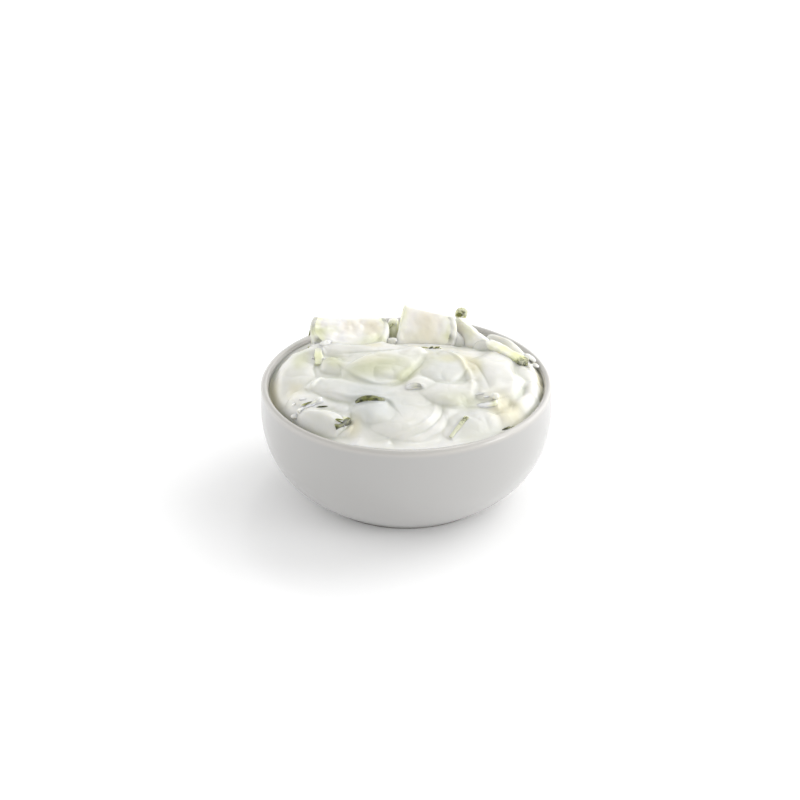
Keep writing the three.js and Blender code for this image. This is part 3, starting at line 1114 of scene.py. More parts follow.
TINTS = (
    Tint(Layer.GREEN, (-12, -4), (15, 8), 24, 0.95),
    Tint(Layer.GREEN, (-43, 9), (4, 10), 0, 0.9),
    Tint(Layer.GREEN, (-29, 4), (5, 7), 15, 0.95),
    # painted shade: this green patch darkens the valley between the tongue and the middle disc
    Tint(Layer.GREEN, (0, -9), (3, 9), -35, 0.8),
    Tint(Layer.GREEN, (9, 4), (4, 9), -20, 0.4),
    Tint(Layer.GREEN, (22, -27), (8, 4), 0, 0.5),
    Tint(Layer.GREEN, (17, 4), (5, 4), 10, 0.7),
    Tint(Layer.GREEN, (27, 0), (4, 9), -10, 0.5),
    Tint(Layer.GREEN, (-5, 27), (5, 5), 0, 0.5),
    Tint(Layer.WARM, (-14, 18.5), (4, 2.4), 0, 0.7),
    Tint(Layer.WARM, (-14, 2), (7, 4), 24, 0.35),
    Tint(Layer.WARM, (17, 4), (4.5, 3), 10, 0.4),
    Tint(Layer.WARM, (-44, -16), (4, 6), 0, 0.5),
    Tint(Layer.WARM, (26, 2), (4, 10), 10, 1.0),
    Tint(Layer.WARM, (38.5, -28.5), (7, 8), 30, 0.9),
    Tint(Layer.WARM, (-20, -41), (3, 6), 0, 0.7),
    # painted shade: these two warm strips brown the yogurt's edge in the shaded gaps along the wall
    Tint(Layer.WARM, (54, 2), (2.5, 12), 0, 0.7),
    Tint(Layer.WARM, (-54, -8), (3, 18), 8, 0.8),
    # Painted shade: these patches darken stretches of the dip that lie in shade.
    Tint(Layer.THIN, (39, -28), (6, 6), 30, 0.8),
    Tint(Layer.THIN, (-20, -12), (15, 12), 0, 0.7),
    Tint(Layer.THIN, (-12, -30), (12, 12), 0, 1.0),
    Tint(Layer.THIN, (-34, -34), (9, 9), 0, 0.3),
    Tint(Layer.THIN, (-43, 8), (5, 10), 0, 0.5),
    Tint(Layer.THIN, (16, -8), (9, 12), 0, 0.5),
    Tint(Layer.THIN, (24, -36), (9, 7), 0, 0.4),
)

# Where the yogurt meets the wall: direction in degrees from +X, height, and how
# far from the wall the surface starts to bend down to it.
SHORE = (
    (-180, -3.9, 3.0), (-160, -4.8, 2.8), (-140, -5.9, 2.8), (-125, -3.0, 5.0), (-110, -0.3, 7.5),
    (-70, -0.2, 8.0), (-55, -0.6, 7.0), (-40, -2.4, 3.4), (-16, -2.4, 2.2), (-12, -4.2, 2.2),
    (-7, -2.4, 2.2), (-3, -2.4, 2.2), (0, -3.4, 2.2), (4, -2.6, 2.2), (20, -2.6, 2.6),
    (45, -4.5, 3.0), (70, -5.0, 3.0), (90, -3.5, 3.2), (120, -3.0, 3.2), (150, -2.0, 3.2),
    (180, -3.9, 3.0),
)


# --------------------------------------------------------------- slices' forms


@dataclass(frozen=True)
class Slice:
    """One sector of a round slice of cucumber.

    Its straight cut edge runs between two points, the rest hangs from it and
    leans by some degrees. `film` is how much yogurt clings to it, and `rind`
    how near the skin its middle already looks, `outer` how near its round side
    does. With `bulge` the round side swells further out from the cut edge.
    """

    node: str
    start: tuple[float, float, float]
    end: tuple[float, float, float]
    span: float
    lean: float
    thick: float
    film: float
    rind: float = 0.0
    bulge: float = 0.0
    outer: float = 1.0

    def radius(self) -> float:
        """Radius of the whole round."""
        length = (Vector(self.end) - Vector(self.start)).length
        return length / 2 if self.span == 180 else length

    def place(self, rim: float) -> Matrix:
        """Where the sector stands.

        Args:
            rim: height of the rim.

        Returns:
            The matrix from the sector's own plane into the dish.
        """
        start, end = Vector(self.start), Vector(self.end)
        heart = (start + end) / 2 if self.span == 180 else start
        edge = (end - start).normalized()
        down = Vector((0, 0, -1))
        down = (down - down.dot(edge) * edge).normalized()
        lean = math.radians(self.lean)
        hang = math.cos(lean) * down + math.sin(lean) * down.cross(edge)
        turn = Matrix((edge, hang, edge.cross(hang))).transposed()
        return Matrix.Translation(heart + Vector((0, 0, rim))) @ turn.to_4x4()

    def edge_radius(self, angle: np.ndarray) -> np.ndarray:
        """How far the round side is from the heart.

        Args:
            angle: directions in the sector's plane.

        Returns:
            The distances.
        """
        middle = math.radians(self.span) / 2
        shift = self.bulge * self.radius()
        ahead = self.radius() - shift * math.cos(middle)
        across = shift * math.sin(middle)
        off = angle - middle
        return shift * np.cos(off) + np.sqrt(ahead**2 + across**2 - (shift * np.sin(off)) ** 2)

    def gap(self, points: np.ndarray) -> np.ndarray:
        """Distance from the slice, negative inside it.

        Args:
            points: places, heights counted from the rim.

        Returns:
            About the distance of each place.
        """
        into = np.array(self.place(0.0).inverted())
        local = points @ into[:3, :3].T + into[:3, 3]
        a, b, w = local.T
        span = math.radians(self.span)
        angle = np.clip(np.arctan2(b, a), 0, span)
        flat = np.hypot(a, b) - self.edge_radius(angle)
        flat = np.maximum.reduce([flat, -b, b * math.cos(span) - a * math.sin(span)])
        side = np.abs(w) - self.thick / 2
        outside = np.hypot(np.maximum(flat, 0), np.maximum(side, 0))
        return outside + np.minimum(np.maximum(flat, side), 0)


SLICES = (
    Slice("half_slice_back_left", (-38.5, 36.8, 7.9), (-8.8, 36.6, 7.9), 180, 74, 5.4, 0.5, bulge=0.42),
    Slice("quarter_slice_back_middle", (-0.5, 38.5, 15.1), (19.6, 37, 10.2), 90, 42, 5.6, 0.55, bulge=0.6),
    Slice("green_wedge_back", (-5.4, 39.4, -3.0), (-5.4, 29.4, -0.6), 85, 180, 3.6, 0.45, 0.6, 0.3, 0.935),
    Slice("half_slice_right", (22.6, 41.5, 7.2), (34.6, 22.2, 5.4), 180, 34, 4, 0.5, 0.4, 0, 0.93),
    Slice("skin_knob_back_right", (21.2, 40.2, 9.0), (25.2, 39.4, 8.9), 180, 170, 3.4, 0.2, 0.5, 0.7, 0.944),
    Slice("rind_strip_right", (34, 20.6, 7.3), (48.3, 6, 5.6), 60, 0, 4.8, 0.3, 0.78, 0, 0.96),
    Slice("quarter_slice_left", (-36, 16.4, 6.1), (-35, 3.6, 5.2), 80, 5, 3.6, 0.3, 0.8, 0, 0.955),
    Slice("slice_end_front_left", (-31, -33.5, 1.9), (-21.1, -37.1, 1.8), 46, 84, 2.6, 0.06, 0.6),
    Slice("thin_slice_front_left", (-42, -31, 2.9), (-33.6, -25, 4.9), 80, 20, 1.8, 0.34, 0.8),
    Slice("skin_arc_front", (-21.6, -26.3, -0.3), (-6.2, -26.3, -0.7), 180, 172, 2.6, 0.05, 0.3),
    Slice("skin_arc_middle", (-1, -17.4, 2.5), (8.6, -17.4, 2.6), 180, 170, 1.8, 0.4, 0.1),
    Slice("green_strip_front_right", (16.6, -48.5, 0.8), (23.2, -38, 4.2), 75, -12, 2, 0.05, 0.9, 0, 0.955),
    Slice("slice_end_right", (22.4, -27, 2.0), (35, -26.5, 4.6), 75, 10, 3.6, 0.5, 0.6, 0, 0.9),
)

FLESH_TINTS = (
    Tint(Layer.WARM, (8.6, 30.5), (5, 4), 0, 0.8),
    Tint(Layer.WARM, (8, 25.5), (12, 3), 0, 0.5),
    Tint(Layer.WARM, (-14, 29), (4, 5), 0, 1.0),
    Tint(Layer.WARM, (-23, 28), (3, 6), 0, 0.5),
    Tint(Layer.WARM, (22.5, 30), (2, 6), 0, 0.5),
    Tint(Layer.GREEN, (-1.8, 36), (2.4, 7), 0, 0.6),
    Tint(Layer.GREEN, (8, 25.5), (10, 3), 0, 0.35),
    Tint(Layer.GREEN, (-37, 27), (3.5, 3), 0, 0.7),
    Tint(Layer.GREEN, (-32, 28), (4, 3), 0, 0.4),
    Tint(Layer.GREEN, (-14, 27), (3.5, 4), 0, 0.4),
    Tint(Layer.GREEN, (-35.6, 8), (4, 8), 0, 0.8),
    Tint(Layer.GREEN, (-12, 21), (8, 4), 0, 0.6),
    Tint(Layer.GREEN, (-5.4, 32), (3, 6), 0, 0.5),
    Tint(Layer.GREEN, (26, 31), (4, 6), 0, 0.4),
)


# ---------------------------------------------------------------------- yogurt


@dataclass
class Yogurt:
    """The yogurt: a heap of folds that bends down to the wall of the bowl.

    `climb` and `climb_reach` are how far it creeps up a slice and from how far
    away, in thicknesses of the slice. Lumps, dents and pits each have a height
    and a size, `sink` keeps the surface level, and `drift` twists them. `blur`
    counts the cells to each side that the mean level is taken from for the
    painted shade in the creases, and `wall_rings` lists the rings of points under
    the edge, as the row of the bowl's inside and the number of points.
    """

    bowl: Bowl
    material: bpy.types.Material
    folds: tuple[Fold, ...] = FOLDS
    strokes: tuple[Stroke, ...] = STROKES
    tints: tuple[Tint, ...] = TINTS
    shore: tuple[tuple[float, float, float], ...] = SHORE
    slices: tuple[Slice, ...] = SLICES
    climb: float = 0.13
    climb_reach: float = 0.3
    heap_top: float = 6.8
    heap_level: float = -1.2
    heap_reach: float = 62.0
    heap_middle: float = 2.0
    back_drop: float = 5.0
    back_range: Spot = (12.0, 36.0)
    lump: float = 0.42
    lump_size: float = 9.0
    lump_sink: float = 0.2
    dent: float = 0.1
    dent_size: float = 4.5
    dent_sink: float = 0.05
    softness: float = 0.004
    pit: float = 0.015
    pit_size: float = 1.6
    drift: float = 1.6
    drift_size: float = 5.0
    flat_edge: float = 4.0
    cell: float = 0.4
    blur: int = 4
    blur_passes: int = 3
    # how far below the mean level the painted crease shade is at its full
    crease_shade_full_at: float = 0.8
    rings: int = 165
    wall_rings: tuple[tuple[int, int], ...] = ((6, 96), (10, 96), (14, 72), (18, 48), (24, 36), (28, 24))
    into_wall: float = 0.15
    seed: int = 7

    def height(self, x: np.ndarray, y: np.ndarray) -> np.ndarray:
        """Height of the folds over the rim.

        Args:
            x: places across.
            y: places front to back.

        Returns:
            The heights.
        """
        swell = 1 - (np.hypot(x, y - self.heap_middle) / self.heap_reach) ** 2
        low, high = self.back_range
        far = np.clip((y - low) / (high - low), 0, 1)
        height = self.heap_level + (self.heap_top - self.heap_level) * swell
        height = height - self.back_drop * far * far * (3 - 2 * far)
        u = sum((sway.push(x, y) for sway in SWAY_X), x)
        v = sum((sway.push(x, y) for sway in SWAY_Y), y)
        for fold in self.folds:
            other = fold.height(u, v)
            close = np.maximum(fold.crease - np.abs(height - other), 0)
            height = np.maximum(height, other) + close**2 / (4 * fold.crease)
        angles, levels, widths = zip(*self.shore)
        direction = np.degrees(np.arctan2(y, x))
        to_wall = np.maximum(self.bowl.rim_radius - self.bowl.wall - np.hypot(x, y), 0)
        bend = np.exp(-((to_wall / np.interp(direction, angles, widths)) ** 2))
        return height * (1 - bend) + np.interp(direction, angles, levels) * bend

    def detail(self, x: np.ndarray, y: np.ndarray) -> np.ndarray:
        """Strokes, lumps and pits on top of the folds.

        Args:
            x: places across.
            y: places front to back.

        Returns:
            How far they lift the surface.
        """
        edge = self.bowl.rim_radius - self.bowl.wall
        inland = np.clip((edge - np.hypot(x, y)) / self.flat_edge, 0, 1)
        strokes = sum(stroke.relief(x, y) for stroke in self.strokes)
        drift = self.drift * smooth_noise(x, y, self.drift_size, self.seed + 3)
        lumps = smooth_noise(x + drift, y - drift, self.lump_size, self.seed)
        dents = smooth_noise(x + drift, y + drift, self.dent_size, self.seed + 1)
        pits = self.pit * smooth_noise(x, y, self.pit_size, self.seed + 2)
        lumps = self.lump * np.sqrt(lumps**2 + self.softness) - self.lump_sink
        dents = self.dent * np.sqrt(dents**2 + self.softness) - self.dent_sink
        return inland * (strokes + lumps + dents + pits)

    def surface(self, x: np.ndarray, y: np.ndarray) -> np.ndarray:
        """Height of the finished surface over the rim.

        Args:
            x: places across.
            y: places front to back.

        Returns:
            The heights, with the yogurt climbing up every slice.
        """
        height = self.height(x, y) + self.detail(x, y)
        points = np.column_stack([x, y, height])
        climb = np.zeros(len(points))
        for cut in self.slices:
            near = np.maximum(cut.gap(points), 0) / (self.climb_reach * cut.thick)
            climb = np.maximum(climb, self.climb * cut.thick * np.exp(-(near**2)))
        return height + climb

    def crease_shade_weight(self, x: np.ndarray, y: np.ndarray) -> np.ndarray:
        """How far places lie below their surroundings, as the weight of the painted shade in the creases.

        Args:
            x: places across.
            y: places front to back.

        Returns:
            From 0 on a ridge or a slope to 1 at the bottom of a crease.
        """
        line = np.arange(-self.bowl.rim_radius, self.bowl.rim_radius + self.cell, self.cell)
        across, along = np.meshgrid(line, line)
        level = self.height(across, along) + self.detail(across, along)
        mean = level
        steps = range(-self.blur, self.blur + 1)
        for axis in (0, 1) * self.blur_passes:
            mean = sum(np.roll(mean, step, axis) for step in steps) / len(steps)
        column, row = ((place - line[0]) / self.cell for place in (x, y))
        found = (mean - level)[np.round(row).astype(int), np.round(column).astype(int)]
        return np.clip(found / self.crease_shade_full_at, 0, 1)

    def build(self) -> bpy.types.Object:
        """Makes the yogurt and puts it in place of its plain solid.

        Returns:
            The yogurt's object.
        """
        edge = self.bowl.rim_radius - self.bowl.wall + self.into_wall
        counts = [1, *(6 * ring for ring in range(1, self.rings + 1))]
        flat = np.vstack([edge * ring / self.rings * around(count) for ring, count in enumerate(counts)])
        parts = [np.column_stack([flat, self.bowl.height + self.surface(*flat.T)])]
        wall = self.bowl.inner_profile(20, -self.into_wall)
        for row, count in self.wall_rings:
            radius, level = wall[row]
            parts.append(np.column_stack([radius * around(count), np.full(count, level)]))
            counts.append(count)
        parts.append([[0.0, 0.0, wall[-1][1]]])
        vertices = np.vstack(parts) * MM
        piece = mesh_piece("yogurt", vertices, disc_faces(counts, len(vertices)), self.material)
        paint_tints(piece.data, self.tints)
        x, y, _ = vertices.T / MM
        # painted shade, strongest at the bottom of the creases
        write_layer(piece.data, Layer.CREASE_SHADE, self.crease_shade_weight(x, y))
        dress(piece, "yogurt_dip")
        return piece


# -------------------------------------------------------------------- cucumber


@dataclass
class Cucumber:
    """All the slices, each made by one tree of geometry nodes.

    `edge` is the rounding of a slice's edges and `edge_share` the most of its
    thickness that it may take, `wave` the unevenness, `coat` the thickness of
    the yogurt on it and `patchy` how much that varies. A slice's own film,
    times `film_gain`, sets how patchy it is and how much more of it there is
    within `cling_height` of the dip, `cling_most` at the most. Slices that
    start above `tall` are let down by `settle`. Points closer than `seam` are
    joined.
    """

    yogurt: Yogurt
    material: bpy.types.Material
    slices: tuple[Slice, ...] = SLICES
    tints: tuple[Tint, ...] = FLESH_TINTS
    edge: float = 0.9
    edge_share: float = 0.22
    wave: float = 0.8
    wave_scale: float = 130.0
    rough_scale: float = 150.0
    coat: float = 0.6
    patchy: float = 1.5
    film_gain: float = 3.0
    film_range: Spot = (0.05, 0.75)
    core_dent: float = 0.25
    core_range: Spot = (0.25, 0.5)
    settle: float = 0.9
    tall: float = 12.0
    cling_height: float = 0.6
    cling_most: float = 0.7
    seam: float = 0.002
    block: tuple[int, int, int] = (44, 56, 11)

    def rounding(
        self, nodes: Nodes, given: dict[str, Socket], side: Socket, half: Socket
    ) -> dict[str, Socket]:
        """How far a slice shrinks in its plane where its edges are rounded.

        Args:
            nodes: the slice tree's nodes.
            given: its inputs.
            side: -1 on one cut side to 1 on the other.
            half: half the thickness.

        Returns:
            The share that is taken off in X and Y.
        """
        past = nodes.minus(nodes.times(nodes.math("ABSOLUTE", side), half), nodes.minus(half, given["Edge"]))
        past = nodes.math("DIVIDE", nodes.math("MAXIMUM", past, 0.0), given["Edge"])
        arc = nodes.math("SQRT", nodes.minus(1.0001, nodes.times(past, past)))
        pull = nodes.times(nodes.minus(1.0, arc), nodes.math("DIVIDE", given["Edge"], given["Radius"]))
        wide = nodes.math("MAXIMUM", nodes.math("DIVIDE", given["Span"], math.pi), 0.5)
        return {"X": nodes.math("DIVIDE", pull, wide), "Y": nodes.times(pull, 2.0)}

    def sector(
        self, nodes: Nodes, given: dict[str, Socket], out: Socket, swing: Socket, shrink: dict[str, Socket]
    ) -> list[Socket]:
        """Places of a bulging sector in its own plane.

        Args:
            nodes: the slice tree's nodes.
            given: its inputs.
            out: 0 at the heart to 1 at the round side.
            swing: 0 at the cut edge to 1 at the other end of the span.
            shrink: what the rounded edges take off in X and Y.

        Returns:
            The X and Y of each point.
        """
        angle = nodes.times(swing, given["Span"])
        middle = nodes.times(given["Span"], 0.5)
        shift = nodes.times(given["Radius"], given["Bulge"])
        across = nodes.times(shift, nodes.math("SINE", middle))
        ahead = nodes.minus(given["Radius"], nodes.times(shift, nodes.math("COSINE", middle)))
        squared = nodes.plus(nodes.times(across, across), nodes.times(ahead, ahead))
        off = nodes.minus(angle, middle)
        aside = nodes.times(shift, nodes.math("SINE", off))
        round_part = nodes.math("SQRT", nodes.minus(squared, nodes.times(aside, aside)))
        reach = nodes.times(out, nodes.math("MULTIPLY_ADD", shift, nodes.math("COSINE", off), round_part))
        centre = nodes.times(given["Radius"], 0.5)
        flat = []
        for label, curve in (("X", "COSINE"), ("Y", "SINE")):
            hub = nodes.times(centre, nodes.math(curve, middle))
            gap = nodes.minus(nodes.times(reach, nodes.math(curve, angle)), hub)
            flat.append(nodes.math("MULTIPLY_ADD", gap, nodes.minus(1.0, shrink[label]), hub))
        return flat

    def slice_tree(self) -> bpy.types.NodeTree:
        """Geometry nodes that bend a block into a sector of a round slice.

        Returns:
            The node tree, with the inputs Radius, Span, Thickness, Edge,
            Wave, Dent, Seed, Film, Coat, Rind, Bulge and Outer.
        """
        sizes = "Radius Span Thickness Edge Wave Dent Seed Film Coat Rind Bulge Outer".split()
        inputs = {"Start": "Geometry", **dict.fromkeys(sizes, "Float")}
        nodes, given = open_tree("Geometry", "cucumber_slice", inputs, "Geometry")
        sides = dict(zip(("Vertices X", "Vertices Y", "Vertices Z"), self.block))
        block = nodes.add("GeometryNodeMeshCube", sides).outputs["Mesh"]
        x, y, z = nodes.split(nodes.here())
        out = nodes.math("SINE", nodes.times(nodes.plus(x, 0.5), math.pi / 2))
        swing = nodes.math("MULTIPLY_ADD", nodes.math("SINE", nodes.times(y, math.pi)), 0.5, 0.5)
        side = nodes.math("SINE", nodes.times(z, math.pi))
        half = nodes.times(given["Thickness"], 0.5)
        flat = self.sector(nodes, given, out, swing, self.rounding(nodes, given, side, half))
        drawn = nodes.join(*flat, nodes.times(given["Seed"], 2 * SEED_STEP))
        wave = nodes.waver(drawn, self.wave_scale, 1.0)
        heart = nodes.minus(1.0, nodes.ramp(out, *self.core_range))
        dent = nodes.times(nodes.times(heart, side), nodes.times(given["Dent"], -1.0))
        lift = nodes.math("MULTIPLY_ADD", wave, given["Wave"], dent)
        place = nodes.join(*flat, nodes.math("MULTIPLY_ADD", side, half, lift))
        clear = nodes.minus(given["Outer"], given["Rind"])
        ringed = nodes.store(block, Layer.RING, nodes.math("MULTIPLY_ADD", out, clear, given["Rind"]))
        body = nodes.weld(nodes.shift(ringed, {"Position": place}), self.seam * MM)
        spot = nodes.seeded(given["Seed"])
        rough = nodes.shift(body, {"Offset": nodes.stir(spot, self.rough_scale, given["Wave"])})
        share = nodes.math("MULTIPLY", given["Film"], self.film_gain, clamp=True)
        patch = nodes.times(nodes.waver(spot, self.rough_scale, self.patchy, 1.5), share)
        film = nodes.ramp(nodes.plus(patch, given["Film"]), *self.film_range)
        normal = nodes.add("GeometryNodeInputNormal").outputs[0]
        coat = nodes.vector("SCALE", {0: normal, "Scale": nodes.times(film, given["Coat"])})
        coated = nodes.shift(nodes.store(rough, Layer.FILM, film), {"Offset": coat})
        return nodes.finish(coated, self.material)

    def build(self) -> list[bpy.types.Object]:
        """Makes every slice and puts each in place of its plain solid.

        Returns:
            The slices' objects.
        """
        tree = self.slice_tree()
        made = []
        for number, cut in enumerate(self.slices):
            values = {
                "Radius": cut.radius() * MM,
                "Span": math.radians(cut.span),
                "Thickness": cut.thick * MM,
                "Edge": min(self.edge, self.edge_share * cut.thick) * MM,
                "Wave": self.wave * MM,
                "Dent": self.core_dent * MM,
                "Seed": float(number),
                "Film": cut.film,
                "Coat": self.coat * MM,
                "Rind": cut.rind,
                "Bulge": cut.bulge,
                "Outer": cut.outer,
            }
            piece = run_tree(f"cucumber_{cut.node}", bpy.data.meshes.new("start"), tree, values)
            settle = self.settle if cut.start[2] > self.tall else 0.0
            place = cut.place(self.yogurt.bowl.height) @ Matrix.Translation((0, settle, 0))
            place.translation *= MM
            piece.data.transform(place)
            face_out(piece)
            self.cling(piece, cut.film)
            paint_tints(piece.data, self.tints)
            dress(piece, cut.node)
            made.append(piece)
        return made

    def cling(self, piece: bpy.types.Object, share: float) -> None:
        """Adds a film of yogurt where a slice comes out of the dip.

        Args:
            piece: the slice.
            share: how much yogurt clings to it.
        """
        points = mesh_points(piece.data) / MM
        above = points[:, 2] - self.yogurt.bowl.height - self.yogurt.height(points[:, 0], points[:, 1])
        low = np.clip(1 - above / self.cling_height, 0, 1)
        film = np.zeros(len(points), np.float32)
        piece.data.attributes[Layer.FILM.value].data.foreach_get("value", film)
        most = min(self.cling_most, self.film_gain * share)
        write_layer(piece.data, Layer.FILM, np.clip(film + most * low, 0, 1))


# ------------------------------------------------------------------------ bits


@dataclass(frozen=True)
class Bit:
    """One small bit on the dip: a shred of cucumber or a drop of yogurt.

    Attributes are its place, its half sizes along, across and up, its turn in
    degrees, how near the skin it was cut, how far it sits off the surface, how
    far its length dips, in degrees, and, where it hangs on a slice, its height
    over the rim.
    """

    at: Spot
    half: tuple[float, float, float]
    turn: float = 0.0
    ring: float = 1.0
    lift: float = 0.1
    dip: float = 0.0
    level: float | None = None


SHREDS = (
    Bit((-32.7, -28.9), (2.4, 0.3, 0.35), 11, 0.97),
    Bit((-38.5, -28), (2.6, 0.4, 0.4), 36, 0.97),
    Bit((-37.0, -29.2), (2.8, 0.35, 0.4), 33, 0.75),
    Bit((-43.6, -26.5), (1.6, 0.3, 0.35), 55, 0.7),
    Bit((-40.5, -24.5), (1.5, 0.8, 0.5), 10, 0.3),
    Bit((7.6, 17.4), (1.7, 0.45, 0.4), -6, 0.95, 0.2),
    Bit((10.2, 17.0), (1.1, 0.5, 0.45), 40, 0.97, 0.3),
    Bit((12.4, 17.2), (1.6, 0.45, 0.4), 24, 0.96, 0.3),
    Bit((14.2, 16.8), (0.6, 0.3, 0.3), -30, 0.9),
    Bit((-36.6, 8.8), (0.9, 0.5, 0.5), 20),
    Bit((-34.9, 8.0), (1.1, 0.4, 0.4), 62, 0.97),
    Bit((-37.8, 9.8), (0.9, 0.6, 0.6), -10, 0.3),
    Bit((-33.4, 6.6), (0.8, 0.5, 0.4), 10, 0.3),
    # painted shadow: these two dark shreds stand in the shaded gap where the dip meets the wall at the front
    # right
    Bit((38.4, -38.0), (2.2, 0.4, 0.4), 38, 0.96),
    Bit((41.4, -35.6), (1.8, 0.35, 0.35), 42, 0.95),
    Bit((33.2, -27.9), (1.5, 0.5, 0.4), 6, 0.97),
    Bit((31.2, -24.4), (1.5, 0.4, 0.4), 20, 0.75),
    Bit((28.6, -22.6), (2.0, 0.3, 0.3), 8, 0.75),
    Bit((-25.3, -40.1), (2.2, 0.24, 0.3), -6, 0.98, 0.1, 28),
    Bit((-25.4, -39.3), (1.6, 0.2, 0.3), 14, 0.985, 0.2, 20),
    Bit((-23.9, -40.8), (1.1, 0.25, 0.3), -30, 0.75, 0.1, 30),
    Bit((-39.9, 31.7), (3.9, 0.4, 0.45), 79, 0.97, dip=-20, level=6.6),
    Bit((-38.2, 31.2), (3.0, 0.35, 0.4), 76, 0.93, dip=-20, level=7.0),
    Bit((-37.4, 35.6), (1.2, 0.4, 0.4), 10, 0.96, level=8.2),
    Bit((-6.4, 34.6), (1.7, 0.8, 0.9), 60, 0.945, dip=-40, level=6.8),
    Bit((-4.7, 33.8), (2.8, 0.3, 0.4), 73, 0.3, dip=-40, level=6.5),
    Bit((-5.4, 33.2), (2.2, 0.25, 0.3), 73, 0.965, dip=-42, level=5.9),
    Bit((22.5, 37.8), (1.7, 0.6, 0.9), 10, 0.98, level=10.7),
    Bit((23.5, 38.2), (1.3, 0.5, 0.7), -20, 0.95, level=12.0),
    Bit((24.7, 37.9), (0.9, 0.5, 1.1), 0, 0.935, level=11.0),
    Bit((50.3, 6.9), (1.2, 0.7, 0.6), 30, 0.3, 1.0),
    Bit((-42.0, 23.5), (0.9, 0.5, 0.5), 40, 0.3),
    Bit((-40.2, 21.6), (0.7, 0.4, 0.4), -20, 0.95),
)

DROPS = (
    Bit((-33.0, 20.4), (3.4, 1.9, 1.3), 40, lift=-0.2),
    Bit((-22.0, 21.4), (5.0, 1.4, 1.0), -3, lift=-0.3),
    Bit((50.6, 17.6), (4.6, 1.7, 0.5), -60, lift=2.2),
    Bit((53.0, 12.4), (2.2, 1.2, 0.45), -75, lift=2.0),
    Bit((34.6, -24.6), (1.7, 1.5, 1.2), 30, lift=0.5),
    Bit((-6.0, 25.6), (2.7, 1.5, 2.1), 0, level=4.0),
    Bit((-43.0, -30.2), (1.9, 1.4, 1.0), 20, lift=0.1),
)


@dataclass
class Bits:
    """Bits of one kind, made as one piece by geometry nodes.

    `rough` is how far their surface strays from a smooth pebble, and `grain`
    how fine it is.
    """

    name: str
    slot: str
    bits: tuple[Bit, ...]
    yogurt: Yogurt
    material: bpy.types.Material
    rough: float = 0.3
    grain: float = 700.0
    seed: float = 3.0
    subdivisions: int = 4

    def tree(self) -> bpy.types.NodeTree:
        """Geometry nodes that put an uneven pebble on every point.

        Returns:
            The node tree, with the inputs Rough, Grain and Seed.
        """
        inputs = {"Points": "Geometry", "Rough": "Float", "Grain": "Float", "Seed": "Float"}
        nodes, given = open_tree("Geometry", self.name, inputs, "Geometry")
        pebble = nodes.add("GeometryNodeMeshIcoSphere", {"Subdivisions": self.subdivisions})
        half, turn = (
            nodes.add("GeometryNodeInputNamedAttribute", {"Name": name}, data_type="FLOAT_VECTOR")
            for name in ("half", "turn")
        )
        euler = nodes.add("FunctionNodeEulerToRotation", {0: turn.outputs["Attribute"]})
        spread = nodes.add("GeometryNodeInstanceOnPoints", {
            "Points": given["Points"],
            "Instance": pebble.outputs["Mesh"],
            "Scale": half.outputs["Attribute"],
            "Rotation": euler.outputs[0],
        })
        real = nodes.add("GeometryNodeRealizeInstances", {"Geometry": spread.outputs["Instances"]})
        uneven = nodes.stir(nodes.seeded(given["Seed"]), given["Grain"], given["Rough"])
        return nodes.finish(nodes.shift(real.outputs[0], {"Offset": uneven}), self.material)

    def build(self) -> bpy.types.Object:
        """Makes all the bits and lays them on the dip.

        Returns:
            Their one object.
        """
        x, y = np.array([bit.at for bit in self.bits]).T
        lying = self.yogurt.surface(x, y)
        level = [low + bit.lift if bit.level is None else bit.level for low, bit in zip(lying, self.bits)]
        level = self.yogurt.bowl.height + np.array(level)
        points = bpy.data.meshes.new("points")
        points.from_pydata((np.column_stack([x, y, level]) * MM).tolist(), [], [])
        half = np.array([bit.half for bit in self.bits], np.float32) * MM
        turn = [(0, math.radians(bit.dip), math.radians(bit.turn)) for bit in self.bits]
        for label, rows in (("half", half), ("turn", turn)):
            kept = points.attributes.new(label, "FLOAT_VECTOR", "POINT")
            kept.data.foreach_set("vector", np.array(rows, np.float32).ravel())
        write_layer(points, Layer.RING, np.array([bit.ring for bit in self.bits]))
        values = {"Rough": self.rough * MM, "Grain": self.grain, "Seed": self.seed}
        piece = run_tree(self.name, points, self.tree(), values)
        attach(piece, BODY)
        LOG.info("%s: %d bits, %d faces", self.name, len(self.bits), len(piece.data.polygons))
        return piece


# ---------------------------------------------------------------------- studio


@dataclass(frozen=True)
class Sun:
    """One broad light.

    `compass` is the direction that it comes from, in degrees from +X towards
    +Y, `height` is in degrees over the floor, and `width` is how wide it looks.
    """

    name: str
    compass: float
    height: float
    strength: float
    width: float

    def build(self) -> None:
        """Puts the light into the scene."""
        data = bpy.data.lights.new(self.name, "SUN")
        data.energy = self.strength
        data.angle = math.radians(self.width)
        lamp = bpy.data.objects.new(self.name, data)
        a, h = math.radians(self.compass), math.radians(self.height)
        source = Vector((math.cos(a) * math.cos(h), math.sin(a) * math.cos(h), math.sin(h)))
        lamp.rotation_euler = source.to_track_quat("Z", "Y").to_euler()
        lamp.location = source
        bpy.context.scene.collection.objects.link(lamp)


SUNS = (
    Sun("key", 28.0, 40.0, 0.8, 40.0),
    Sun("back", 62.0, 48.0, 0.42, 50.0),
    Sun("side", -18.0, 15.0, 0.75, 24.0),
    Sun("glint", 80.0, 52.0, 0.12, 6.0),
)


